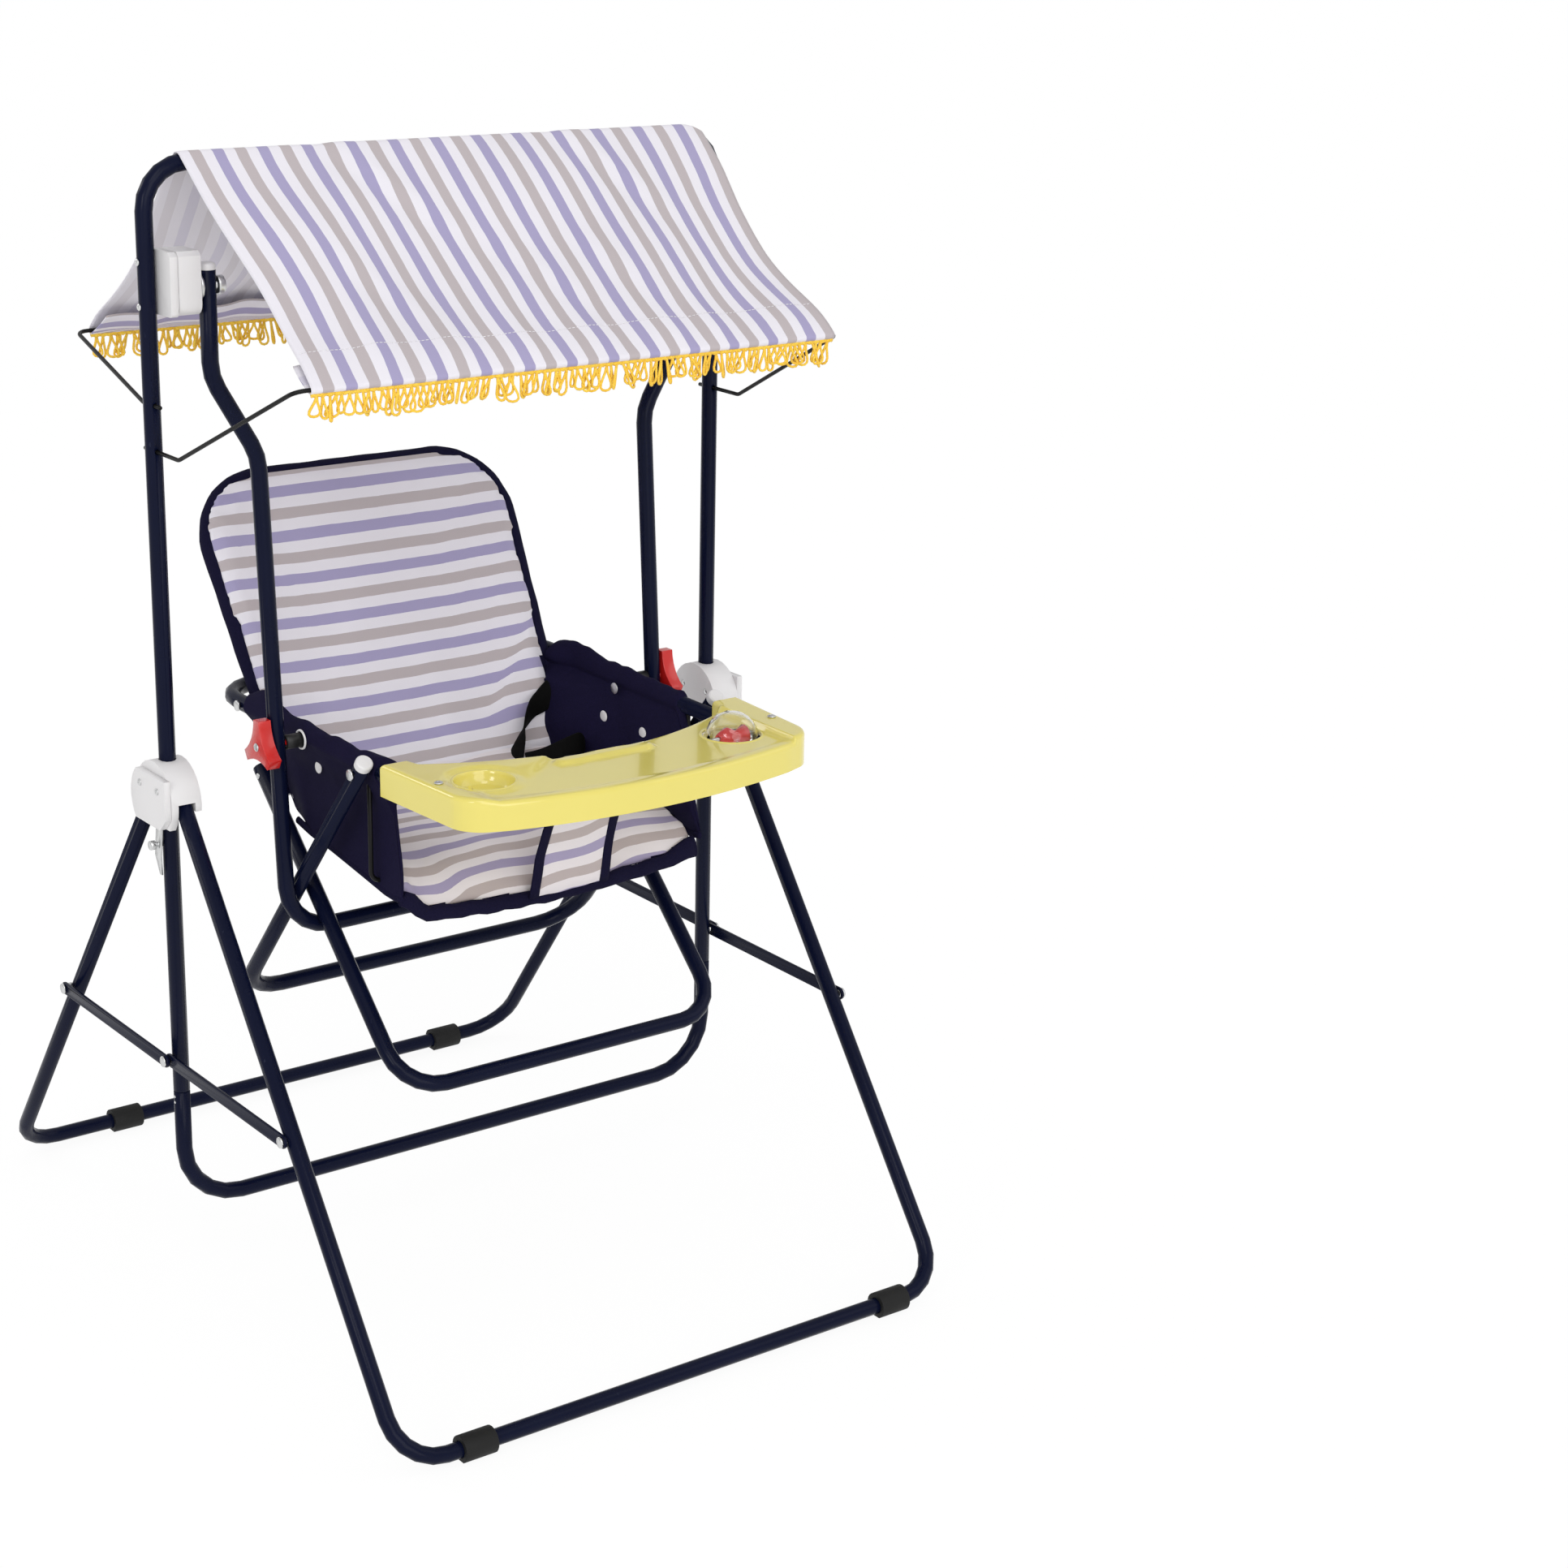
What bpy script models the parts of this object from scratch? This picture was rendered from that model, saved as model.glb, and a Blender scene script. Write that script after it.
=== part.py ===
"""Child's canopy swing: a folding tube stand, a cloth canopy and a sling seat with a tray in a U-shaped hanger.

Metres, +Z up, the front is -Y. The origin is on the floor under the middle of the uprights.
"""

import math

import bpy
from mathutils import Matrix, Vector

# Fits
TOUCH = 0.0003  # between pieces that rest on each other
RUNNING = 0.0004  # round a pin or a tube that turns or slides
SIDE_PLAY = 0.0007  # between a tube and the cheeks it swings between
TUBE_SIDES = 12
PIN_SIDES = 12
BEND_STEP = math.radians(18)

# Tube of the whole frame
TUBE = 0.008  # outer radius
PIN = 0.003  # radius of hinge pins, rivets and clamp screws
RIVET_HEAD = 0.0055
HEAD_HEIGHT = 0.0022

# Upright loop
SPAN = 0.311  # half the spacing of the uprights
TOP_Z = 1.116
ARCH_BEND = 0.042
BOW_Z = 0.106
BOW_BEND = 0.060
SPLICE_Z = 0.228
SPIGOT = 0.0058
SPIGOT_LENGTH = 0.030

# Legs and hubs
HINGE_Y = 0.020  # leg hinge pins, in front of and behind each upright
HINGE_Z = 0.540
FOOT_Y = 0.416
LEG_BEND = 0.046
LEG_TOP = 0.006  # tube above its hinge pin
SOLE_DROP = 0.0115  # from a floor bar's middle to the flat sole of its foot sleeves
SLEEVE = 0.013
SLEEVE_LENGTH = 0.034
FOOT_INSET = {"front": (0.076, 0.065), "rear": (0.127, 0.081)}  # left and right sleeves, from the legs
HUB_WIDTH = 0.030
HUB_RADIUS = 0.038
HUB_MIDDLE_DROP = 0.012  # from the hinge pins to the drum's middle
HUB_DROP = 0.035  # from the hinge pins to the outer cheek's lower end
HUB_CHEEK_DROP = 0.018  # the same for the inner cheek
COVER_THICK = 0.0065
COVER_INSET = 0.002
COVER_RISE = 0.015  # above the hinge pins
COVER_FRONT = 0.0355  # straight front edge, from the upright's middle
COVER_CUT = 0.012  # corner cut off at the lower front
LATCH_BARREL = 0.0024
LATCH_LENGTH = 0.050
LATCH_POINT = 0.0016  # half width of the lever's lower end
LATCH_THICK = 0.0016
LATCH_HALF_WIDTH = 0.006
PLUNGER_DROP = 0.019
PLUNGER = 0.0025
PLUNGER_REACH = 0.0135

# Links
LINK_Z = 0.262
LINK_WIDTH = 0.013
LINK_THICK = 0.003
LINK_GAP = 0.0015  # from a tube to the first link, and between the links
WASHER = 0.0048

# Canopy
WIRE = 0.0021
CLOTH = 0.0025
CANOPY_INSET = 0.030  # from the uprights to the cloth's side edges
CANOPY_HALF = SPAN - CANOPY_INSET
WIRE_INSET = 0.020
WIRE_CORNER_X = SPAN - WIRE_INSET
WIRE_BEND = 0.012
FRINGE = 0.024
FRONT_HOLE_DROP = 0.257  # below the top tube
FRONT_HOLE_Z = TOP_Z - FRONT_HOLE_DROP
FRONT_ELBOW_Y = -0.050
FRONT_HEM_DROP = 0.167
FRONT_HEM_Y = -0.235
FRONT_HEM = (FRONT_HEM_Y, TOP_Z - FRONT_HEM_DROP)
REAR_HOLE_DROP = 0.215
REAR_HOLE_Z = TOP_Z - REAR_HOLE_DROP
REAR_HEM_DROP = 0.179
REAR_HEM_Y = 0.199
REAR_HEM = (REAR_HEM_Y, TOP_Z - REAR_HEM_DROP)

# Swing bracket and hanger
PIVOT_Y = -0.019
PIVOT_DROP = 0.108
PIVOT_Z = TOP_Z - PIVOT_DROP
BOLT = 0.004
NUT = 0.0085
NUT_LENGTH = 0.0065
BIG_WASHER = 0.013
BIG_WASHER_THICK = 0.0026
BRACKET_DEPTH = 0.040
BRACKET_BACK = 0.009  # behind the upright's middle
BRACKET_HEIGHT = 0.058
BRACKET_DROP = 0.025  # below the pivot
BRACKET_CORNER = 0.004
BRACKET_NOSE = 0.011  # round of the block's lower front
BRACKET_PLATE = 0.007  # against the upright
BRACKET_GROOVE = 0.0015  # width and depth, between plate and block
HANGER_INSET = 0.050
HANGER_TOP_X = SPAN - HANGER_INSET
HANGER_TOP = 0.014  # tube above the pivot bolt
JOG_DROP = 0.083
HANGER_JOG_TOP = PIVOT_Z - JOG_DROP
JOG_HEIGHT = 0.077
HANGER_JOG_LOW = HANGER_JOG_TOP - JOG_HEIGHT
HANGER_JOG_BEND = 0.050
HANGER_BEND = 0.045

# Seat frame; the arms fit under the tray, and the rest of the seat follows the arms
TRAY_HALF = 0.200
TRAY_WALL = 0.003
ARM_ROOM = 0.008  # between an arm and the tray's side wall
ARM_X = TRAY_HALF - TRAY_WALL - ARM_ROOM - TUBE
ARM_Z = 0.575
ARM_FRONT = -0.312
ARM_REAR = 0.158
ARM_BEND = 0.050
BACK_SLOPE = 0.588  # run over rise of the backrest
BACK_RUN = 0.166
BACK_RISE = 0.125
BACK_AT = (BACK_RUN, ARM_Z + BACK_RISE)  # a point of the backrest's plane
BACK_INSET = 0.023  # from the arms, at the lower end
BACK_LOW_X = ARM_X - BACK_INSET
BACK_LOW_DROP = 0.083
BACK_LOW_Z = ARM_Z - BACK_LOW_DROP
BACK_FLARE = 0.0175
BACK_TOP_X = BACK_LOW_X + BACK_FLARE
BACK_TOP_RISE = 0.1975
BACK_TOP_Z = ARM_Z + BACK_TOP_RISE
BACK_BEND = 0.070
KNOB_DROP = 0.001
KNOB_Z = ARM_Z - KNOB_DROP
SPACER = 0.0072
KNOB_REACH = 0.026
KNOB_TIP = 0.0105  # width of a wing's blunt end
KNOB_HOLLOW = 0.0075  # how near the middle the hollow sides aim
KNOB_THICK = 0.013
LEG_GAP = 0.0005  # between the two seat legs, side by side
LEG_A_STEP = 0.001
LEG_A_X = ARM_X + LEG_A_STEP
LEG_A_RISE = 0.020  # hinge above the backrest tube's lower end
LEG_A_Z = BACK_LOW_Z + LEG_A_RISE
LEG_A_BAR_Y = -0.208
LEG_A_FALL = 0.244
LEG_A_BAR = (LEG_A_BAR_Y, LEG_A_Z - LEG_A_FALL)
LEG_A_TOP = 0.010
LEG_B_X = LEG_A_X + 2 * TUBE + LEG_GAP
LEG_B_HINGE_Y = -0.163
LEG_B_HINGE = (LEG_B_HINGE_Y, ARM_Z)
LEG_B_BAR_Y = 0.088
LEG_B_FALL = 0.299
LEG_B_BAR = (LEG_B_BAR_Y, ARM_Z - LEG_B_FALL)
LEG_B_TOP = 0.014
SEAT_LEG_BEND = 0.045
HANGER_GAP = 0.0015  # between seat leg B and the hanger's sides
HANGER_X = LEG_B_X + 2 * TUBE + HANGER_GAP
HANGER_BAR_Y = -0.0505
HANGER_BAR_DROP = 0.187
HANGER_BAR = (HANGER_BAR_Y, ARM_Z - HANGER_BAR_DROP)

# Soft parts
PAD_THICK = 0.012
PAD_LOW_LAP = 0.002
PAD_LOW_HALF = BACK_LOW_X + PAD_LOW_LAP
PAD_TOP_LAP = 0.0085
PAD_TOP_HALF = BACK_TOP_X + PAD_TOP_LAP
PAD_TOP_RISE = 0.0105
PAD_TOP_Z = BACK_TOP_Z + PAD_TOP_RISE
PAD_CORNER = 0.072
PANEL_THICK = 0.0034
PANEL_FRONT = -0.196
SEAT_FRONT = -0.193
SEAT_REAR = 0.010
SEAT_DROP = 0.085
SEAT_TOP_Z = ARM_Z - SEAT_DROP
SEAT_LIP_DROP = 0.050
SEAT_LIP_Z = SEAT_TOP_Z - SEAT_LIP_DROP
SEAT_THICK = 0.014
SEAT_WIRE = 0.0025
SEAT_WIRE_Y = -0.151
SEAT_WIRE_DROP = 0.0278
SEAT_WIRE_Z = SEAT_TOP_Z - SEAT_WIRE_DROP
SEAT_WIRE_BEND = 0.010

# Tray
TRAY_RISE = 0.019
TRAY_TOP = ARM_Z + TRAY_RISE
TRAY_SKIRT = 0.030
TRAY_END = -0.205  # rear ends, beside the arms
TRAY_END_HALF = ARM_X - TUBE - SIDE_PLAY - TRAY_WALL
TRAY_REAR = -0.266  # middle of the hollow rear edge
TRAY_FRONT = -0.371
TRAY_CORNER_Y = -0.3135
TRAY_CORNER = 0.034
TRAY_TAPER = 0.007  # how much narrower each side of the tray gets towards its front corner
CUP = 0.028
CUP_DEPTH = 0.014
CUP_INSET = 0.058
CUP_Y = -0.290
CUP_AT = (CUP_INSET - TRAY_HALF, CUP_Y)
RATTLE = 0.0255
RATTLE_WALL = 0.0015
RATTLE_INSET = 0.069
RATTLE_Y = -0.292
RATTLE_AT = (TRAY_HALF - RATTLE_INSET, RATTLE_Y)
RATTLE_GAP = 0.003
AXLE = 0.002
AXLE_DROP = 0.006  # below the tray's top
LUG = 0.0035
RIB_HALF = 0.052
RIB_DEPTH = 0.012
RIB_HEIGHT = 0.004
TRAY_BOSS = 0.007
TRAY_SCREW_Y = -0.283

SIDES = (("left", -1), ("right", 1))

PAINTS = {
    "navy_paint": ((0.012, 0.014, 0.045), 0.25, 0.0),
    "white_plastic": ((0.82, 0.81, 0.80), 0.40, 0.0),
    "black_rubber": ((0.02, 0.02, 0.02), 0.70, 0.0),
    "black_plastic": ((0.015, 0.015, 0.016), 0.45, 0.0),
    "zinc_steel": ((0.60, 0.60, 0.60), 0.30, 1.0),
    "black_wire": ((0.01, 0.01, 0.012), 0.35, 0.0),
    "striped_cloth": ((0.70, 0.68, 0.74), 0.85, 0.0),
    "navy_cloth": ((0.012, 0.010, 0.040), 0.85, 0.0),
    "red_plastic": ((0.62, 0.02, 0.02), 0.30, 0.0),
    "yellow_plastic": ((0.80, 0.70, 0.20), 0.25, 0.0),
    "clear_plastic": ((0.85, 0.85, 0.85), 0.10, 0.0),
}


def clear_scene():
    for obj in list(bpy.data.objects):
        bpy.data.objects.remove(obj, do_unlink=True)


def paint(name):
    """The named material, made once."""
    found = bpy.data.materials.get(name)
    if found:
        return found
    colour, roughness, metallic = PAINTS[name]
    made = bpy.data.materials.new(name)
    made.use_nodes = True
    shader = made.node_tree.nodes["Principled BSDF"]
    shader.inputs["Base Color"].default_value = (*colour, 1.0)
    shader.inputs["Roughness"].default_value = roughness
    shader.inputs["Metallic"].default_value = metallic
    return made


# Shapes


def solid(name, points, faces, finish, pivot=(0, 0, 0)):
    """One object from points in world space, with its origin on pivot."""
    origin = Vector(pivot)
    mesh = bpy.data.meshes.new(name)
    mesh.from_pydata([Vector(p) - origin for p in points], [], faces)
    mesh.shade_smooth()
    mesh.set_sharp_from_angle(angle=math.radians(35))
    mesh.materials.append(paint(finish))
    obj = bpy.data.objects.new(name, mesh)
    obj.location = origin
    bpy.context.scene.collection.objects.link(obj)
    return obj


def cutter(name, points, faces):
    """A helper that only cuts or joins."""
    obj = solid(name, points, faces, "zinc_steel")
    obj.hide_render = True
    obj.display_type = "WIRE"
    return obj


def combine(obj, other, operation):
    change = obj.modifiers.new(other.name, "BOOLEAN")
    change.operation = operation
    change.solver = "EXACT"
    change.object = other


def rounded(corners, bend):
    """The corners joined by straight runs, with an arc of radius bend at each inner corner."""
    corners = [Vector(c) for c in corners]
    bends = bend if isinstance(bend, (list, tuple)) else [bend] * (len(corners) - 2)
    path = [corners[0]]
    for before, at, after, radius in zip(corners, corners[1:], corners[2:], bends):
        back = (before - at).normalized()
        on = (after - at).normalized()
        turn = math.pi - back.angle(on)
        centre = at + (back + on).normalized() * radius / math.cos(turn / 2)
        start = at + back * radius * math.tan(turn / 2) - centre
        end = at + on * radius * math.tan(turn / 2) - centre
        axis = start.cross(end).normalized()
        steps = max(2, math.ceil(turn / BEND_STEP))
        for i in range(steps + 1):
            path.append(centre + Matrix.Rotation(turn * i / steps, 3, axis) @ start)
    path.append(corners[-1])
    return path


def swept(path, radii, sides):
    """Points and faces of a round bar along a path; radii holds one radius for each point."""
    points = []
    faces = []
    tangents = []
    for i in range(len(path)):
        ahead = path[min(i + 1, len(path) - 1)] - path[i]
        behind = path[i] - path[max(i - 1, 0)]
        tangents.append((ahead.normalized() + behind.normalized()).normalized())
    first = Vector((1, 0, 0)) if abs(tangents[0].x) < 0.9 else Vector((0, 0, 1))
    normal = (first - tangents[0] * first.dot(tangents[0])).normalized()
    for i, (at, radius) in enumerate(zip(path, radii)):
        if i:
            normal = tangents[i - 1].rotation_difference(tangents[i]) @ normal
        across = tangents[i].cross(normal)
        for k in range(sides):
            angle = 2 * math.pi * k / sides
            points.append(at + (normal * math.cos(angle) + across * math.sin(angle)) * radius)
    rings = len(path)
    for i in range(rings - 1):
        for k in range(sides):
            a = i * sides + k
            b = i * sides + (k + 1) % sides
            faces.append((a, b, b + sides, a + sides))
    faces.append(tuple(reversed(range(sides))))
    faces.append(tuple(range((rings - 1) * sides, rings * sides)))
    return points, faces


def tube(name, corners, bend, finish, pivot=(0, 0, 0), radius=TUBE, sides=TUBE_SIDES):
    path = rounded(corners, bend)
    return solid(name, *swept(path, [radius] * len(path), sides), finish, pivot)


def turned(profile, start, axis, sides=PIN_SIDES):
    """A profile of (distance along axis, radius) turned about the axis; its ends close on the axis."""
    start = Vector(start)
    axis = Vector(axis).normalized()
    first = Vector((0, 0, 1)) if abs(axis.z) < 0.9 else Vector((1, 0, 0))
    normal = axis.cross(first).normalized()
    across = axis.cross(normal)
    points = []
    faces = []
    for along, radius in profile:
        for k in range(sides):
            angle = 2 * math.pi * k / sides
            spoke = normal * math.cos(angle) + across * math.sin(angle)
            points.append(start + axis * along + spoke * radius)
    for i in range(len(profile) - 1):
        for k in range(sides):
            a = i * sides + k
            b = i * sides + (k + 1) % sides
            faces.append((a, b, b + sides, a + sides))
    faces.append(tuple(reversed(range(sides))))
    faces.append(tuple(range((len(profile) - 1) * sides, len(profile) * sides)))
    return points, faces


def turned_ring(profile, start, axis, sides):
    """A closed profile of (distance along axis, radius) that stays off the axis, turned about it."""
    points, faces = turned(profile, start, axis, sides)
    last = (len(profile) - 1) * sides
    faces = faces[:-2]
    for k in range(sides):
        after = (k + 1) % sides
        faces.append((last + k, last + after, after, k))
    return points, faces


def prism(outline, plane, low, high):
    """Points and faces of an outline in the named plane, pushed from low to high along the third axis."""
    order = {"YZ": (2, 0, 1), "XZ": (0, 2, 1), "XY": (0, 1, 2)}[plane]
    area = sum(a[0] * b[1] - b[0] * a[1] for a, b in zip(outline, outline[1:] + outline[:1]))
    faces_out = (area > 0) != (plane == "XZ")
    ring = outline if faces_out else outline[::-1]
    points = []
    for level in (low, high):
        for u, v in ring:
            parts = (u, v, level)
            points.append(tuple(parts[i] for i in order))
    count = len(ring)
    faces = [tuple(reversed(range(count))), tuple(range(count, 2 * count))]
    for i in range(count):
        j = (i + 1) % count
        faces.append((i, j, j + count, i + count))
    return points, faces


def box(low, high):
    outline = [(low[0], low[1]), (high[0], low[1]), (high[0], high[1]), (low[0], high[1])]
    return prism(outline, "XY", low[2], high[2])


def ellipse(centre, half_u, half_v, start, end, steps):
    """Points along an ellipse between two angles in degrees."""
    found = []
    for i in range(steps + 1):
        angle = math.radians(start + (end - start) * i / steps)
        found.append((centre[0] + half_u * math.cos(angle), centre[1] + half_v * math.sin(angle)))
    return found


def inset(outline, distance):
    """The outline moved inwards; its corners go counter-clockwise."""
    moved = []
    count = len(outline)
    for i in range(count):
        before = Vector(outline[i]) - Vector(outline[i - 1])
        after = Vector(outline[(i + 1) % count]) - Vector(outline[i])
        n1 = Vector((-before.y, before.x)).normalized()
        n2 = Vector((-after.y, after.x)).normalized()
        middle = (n1 + n2).normalized()
        moved.append(tuple(Vector(outline[i]) + middle * distance / middle.dot(n1)))
    return moved


def drill(objects, start, end, radius):
    """A round hole through each object, from start to end."""
    start = Vector(start)
    along = Vector(end) - start
    name = f"drill_{objects[0].name}_{len(objects[0].modifiers)}"
    tool = cutter(name, *turned([(0, radius), (along.length, radius)], start, along))
    for obj in objects:
        combine(obj, tool, "DIFFERENCE")


def spool(name, start, axis, steps, finish, pivot=(0, 0, 0)):
    """A stepped pin: steps holds (length, radius) from start along axis."""
    profile = []
    along = 0
    for length, radius in steps:
        profile.append((along, radius))
        along += length
        profile.append((along, radius))
    return solid(name, *turned(profile, start, axis), finish, pivot)


# Places that several pieces share


def back_y(z):
    """Y of the backrest's plane at a height."""
    return BACK_AT[0] + BACK_SLOPE * (z - BACK_AT[1])


def hanger_y(z):
    """Y of the hanger's long sides at a height."""
    share = (z - HANGER_BAR[1]) / (HANGER_JOG_LOW - HANGER_BAR[1])
    return HANGER_BAR[0] + (PIVOT_Y - HANGER_BAR[0]) * share


def leg_at(z):
    """Y of an open leg's middle line at a height, measured outwards."""
    share = (HINGE_Z - z) / (HINGE_Z - SOLE_DROP)
    return HINGE_Y + (FOOT_Y - HINGE_Y) * share


FRONT_LINK_IN = SPAN + TUBE + LINK_GAP
REAR_LINK_IN = FRONT_LINK_IN + LINK_THICK + LINK_GAP
KNOB_Y = hanger_y(KNOB_Z)
LEG_A_Y = back_y(LEG_A_Z)
PANEL_OUT = ARM_X - TUBE - TOUCH
PANEL_IN = PANEL_OUT - PANEL_THICK
BRACKET_IN = SPAN - TUBE - TOUCH
BRACKET_FACE = HANGER_TOP_X + TUBE + RUNNING + BIG_WASHER_THICK + TOUCH


# Stand


def build_upright_loop():
    arch = tube(
        "upper_arch",
        [(-SPAN, 0, SPLICE_Z), (-SPAN, 0, TOP_Z), (SPAN, 0, TOP_Z), (SPAN, 0, SPLICE_Z)],
        ARCH_BEND,
        "navy_paint",
    )
    for sign in (-1, 1):
        bore_top = SPLICE_Z + SPIGOT_LENGTH + TOUCH
        drill([arch], (sign * SPAN, 0, SPLICE_Z - TUBE), (sign * SPAN, 0, bore_top), SPIGOT + TOUCH)
        for hole_z in (FRONT_HOLE_Z, REAR_HOLE_Z):
            ends = [(sign * SPAN, side * 2 * TUBE, hole_z) for side in (-1, 1)]
            drill([arch], *ends, WIRE + TOUCH)

    shoulder = SPLICE_Z - TOUCH
    path = rounded([(-SPAN, 0, shoulder), (-SPAN, 0, BOW_Z), (SPAN, 0, BOW_Z), (SPAN, 0, shoulder)], BOW_BEND)
    step = Vector((0, 0, 1e-5))
    spigot_end = Vector((0, 0, SPIGOT_LENGTH))
    path = [path[0] + spigot_end, path[0] + step] + path + [path[-1] + step, path[-1] + spigot_end]
    radii = [SPIGOT, SPIGOT] + [TUBE] * (len(path) - 4) + [SPIGOT, SPIGOT]
    solid("lower_bow", *swept(path, radii, TUBE_SIDES), "navy_paint")


def build_leg_frame(end, sign):
    """One U-shaped leg frame; sign is -1 for the front and 1 for the rear."""
    pivot = (0, sign * HINGE_Y, HINGE_Z)
    down = Vector((0, sign * (FOOT_Y - HINGE_Y), SOLE_DROP - HINGE_Z)).normalized()
    corners = []
    for x in (-SPAN, SPAN):
        corners.append(Vector((x, sign * HINGE_Y, HINGE_Z)) - down * LEG_TOP)
        corners.append(Vector((x, sign * FOOT_Y, SOLE_DROP)))
    frame = tube(f"{end}_leg_frame", [corners[0], corners[1], corners[3], corners[2]], LEG_BEND, "navy_paint", pivot)
    for x in (-SPAN, SPAN):
        drill([frame], (x - 2 * TUBE, *pivot[1:]), (x + 2 * TUBE, *pivot[1:]), PIN + RUNNING)
    for (side, way), inwards in zip(SIDES, FOOT_INSET[end]):
        build_foot(f"{end}_foot_{side}", way * (SPAN - inwards), sign, pivot)


def build_foot(name, x, sign, pivot):
    """A rubber sleeve with a flat sole on a floor bar."""
    centre = (sign * FOOT_Y, SOLE_DROP)
    edge = math.degrees(math.asin(SOLE_DROP / SLEEVE))
    outline = ellipse(centre, SLEEVE, SLEEVE, -edge, 180 + edge, 18)
    half = SLEEVE_LENGTH / 2
    foot = solid(name, *prism(outline, "YZ", x - half, x + half), "black_rubber", pivot)
    drill([foot], (x - SLEEVE_LENGTH, *centre), (x + SLEEVE_LENGTH, *centre), TUBE + TOUCH)


def hub_arc(radius, high):
    """Rear side of a hub in side view, from its flat lower end up to this height above the hinge pins."""
    start = math.degrees(math.asin((HUB_DROP - HUB_MIDDLE_DROP) / radius))
    end = math.degrees(math.asin(min(1, (high + HUB_MIDDLE_DROP) / radius)))
    return ellipse((0, HINGE_Z - HUB_MIDDLE_DROP), radius, radius, -start, end, 10)


def hub_outline():
    """Side view of a hub: a drum, cut flat below."""
    rear = hub_arc(HUB_RADIUS, HUB_RADIUS)
    return rear + [(-y, z) for y, z in reversed(rear[:-1])]


def cover_outline():
    """Side view of a hub's cover: round behind, straight in front, with a flat top."""
    low = HINGE_Z - HUB_DROP
    rear = hub_arc(HUB_RADIUS - COVER_INSET, COVER_RISE)
    front = [(-COVER_FRONT, HINGE_Z + COVER_RISE), (-COVER_FRONT, low + COVER_CUT), (COVER_CUT - COVER_FRONT, low)]
    return rear + front


def hub_hollow():
    """Side view of the room in a hub where both legs swing, open below."""
    open_leg = Vector((FOOT_Y - HINGE_Y, SOLE_DROP - HINGE_Z)).normalized()
    outwards = Vector((-open_leg.y, open_leg.x))
    pin = Vector((HINGE_Y, HINGE_Z))
    swing = math.hypot(TUBE, LEG_TOP) + SIDE_PLAY
    shoulder = pin + outwards * (TUBE + SIDE_PLAY) + open_leg * LEG_TOP
    mouth = pin + outwards * (TUBE + SIDE_PLAY) + open_leg * 2 * HUB_RADIUS
    side = [
        (mouth.x, mouth.y),
        (shoulder.x, shoulder.y),
        *ellipse((HINGE_Y, HINGE_Z), swing, swing, 10, 90, 4),
    ]
    return side + [(-y, z) for y, z in reversed(side)]


def build_hub(side, sign):
    x = sign * SPAN
    half = HUB_WIDTH / 2
    hub = solid(f"hub_{side}", *prism(hub_outline(), "YZ", x - half, x + half), "white_plastic")
    room = TUBE + SIDE_PLAY
    hollow = cutter(f"hub_hollow_{side}", *prism(hub_hollow(), "YZ", x - room, x + room))
    combine(hub, hollow, "DIFFERENCE")
    inner, outer = sorted((x - sign * HUB_WIDTH, x))
    corner_a = (inner, -2 * HUB_RADIUS, HINGE_Z - 2 * HUB_DROP)
    corner_b = (outer, 2 * HUB_RADIUS, HINGE_Z - HUB_CHEEK_DROP)
    combine(hub, cutter(f"hub_inner_cut_{side}", *box(corner_a, corner_b)), "DIFFERENCE")
    drill([hub], (x, 0, HINGE_Z - 2 * HUB_DROP), (x, 0, HINGE_Z + 2 * HUB_RADIUS), TUBE + RUNNING)
    for end, way in (("front", -1), ("rear", 1)):
        y = way * HINGE_Y
        drill([hub], (x - HUB_WIDTH, y, HINGE_Z), (x + HUB_WIDTH, y, HINGE_Z), PIN + TOUCH)
        spool(f"{end}_leg_pin_{side}", (x - half, y, HINGE_Z), (1, 0, 0), [(HUB_WIDTH, PIN)], "zinc_steel")

    cover_in = x + sign * (half + TOUCH)
    cover_out = cover_in + sign * COVER_THICK
    low, high = sorted((cover_in, cover_out))
    solid(f"hub_cover_{side}", *prism(cover_outline(), "YZ", low, high), "white_plastic")


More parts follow.
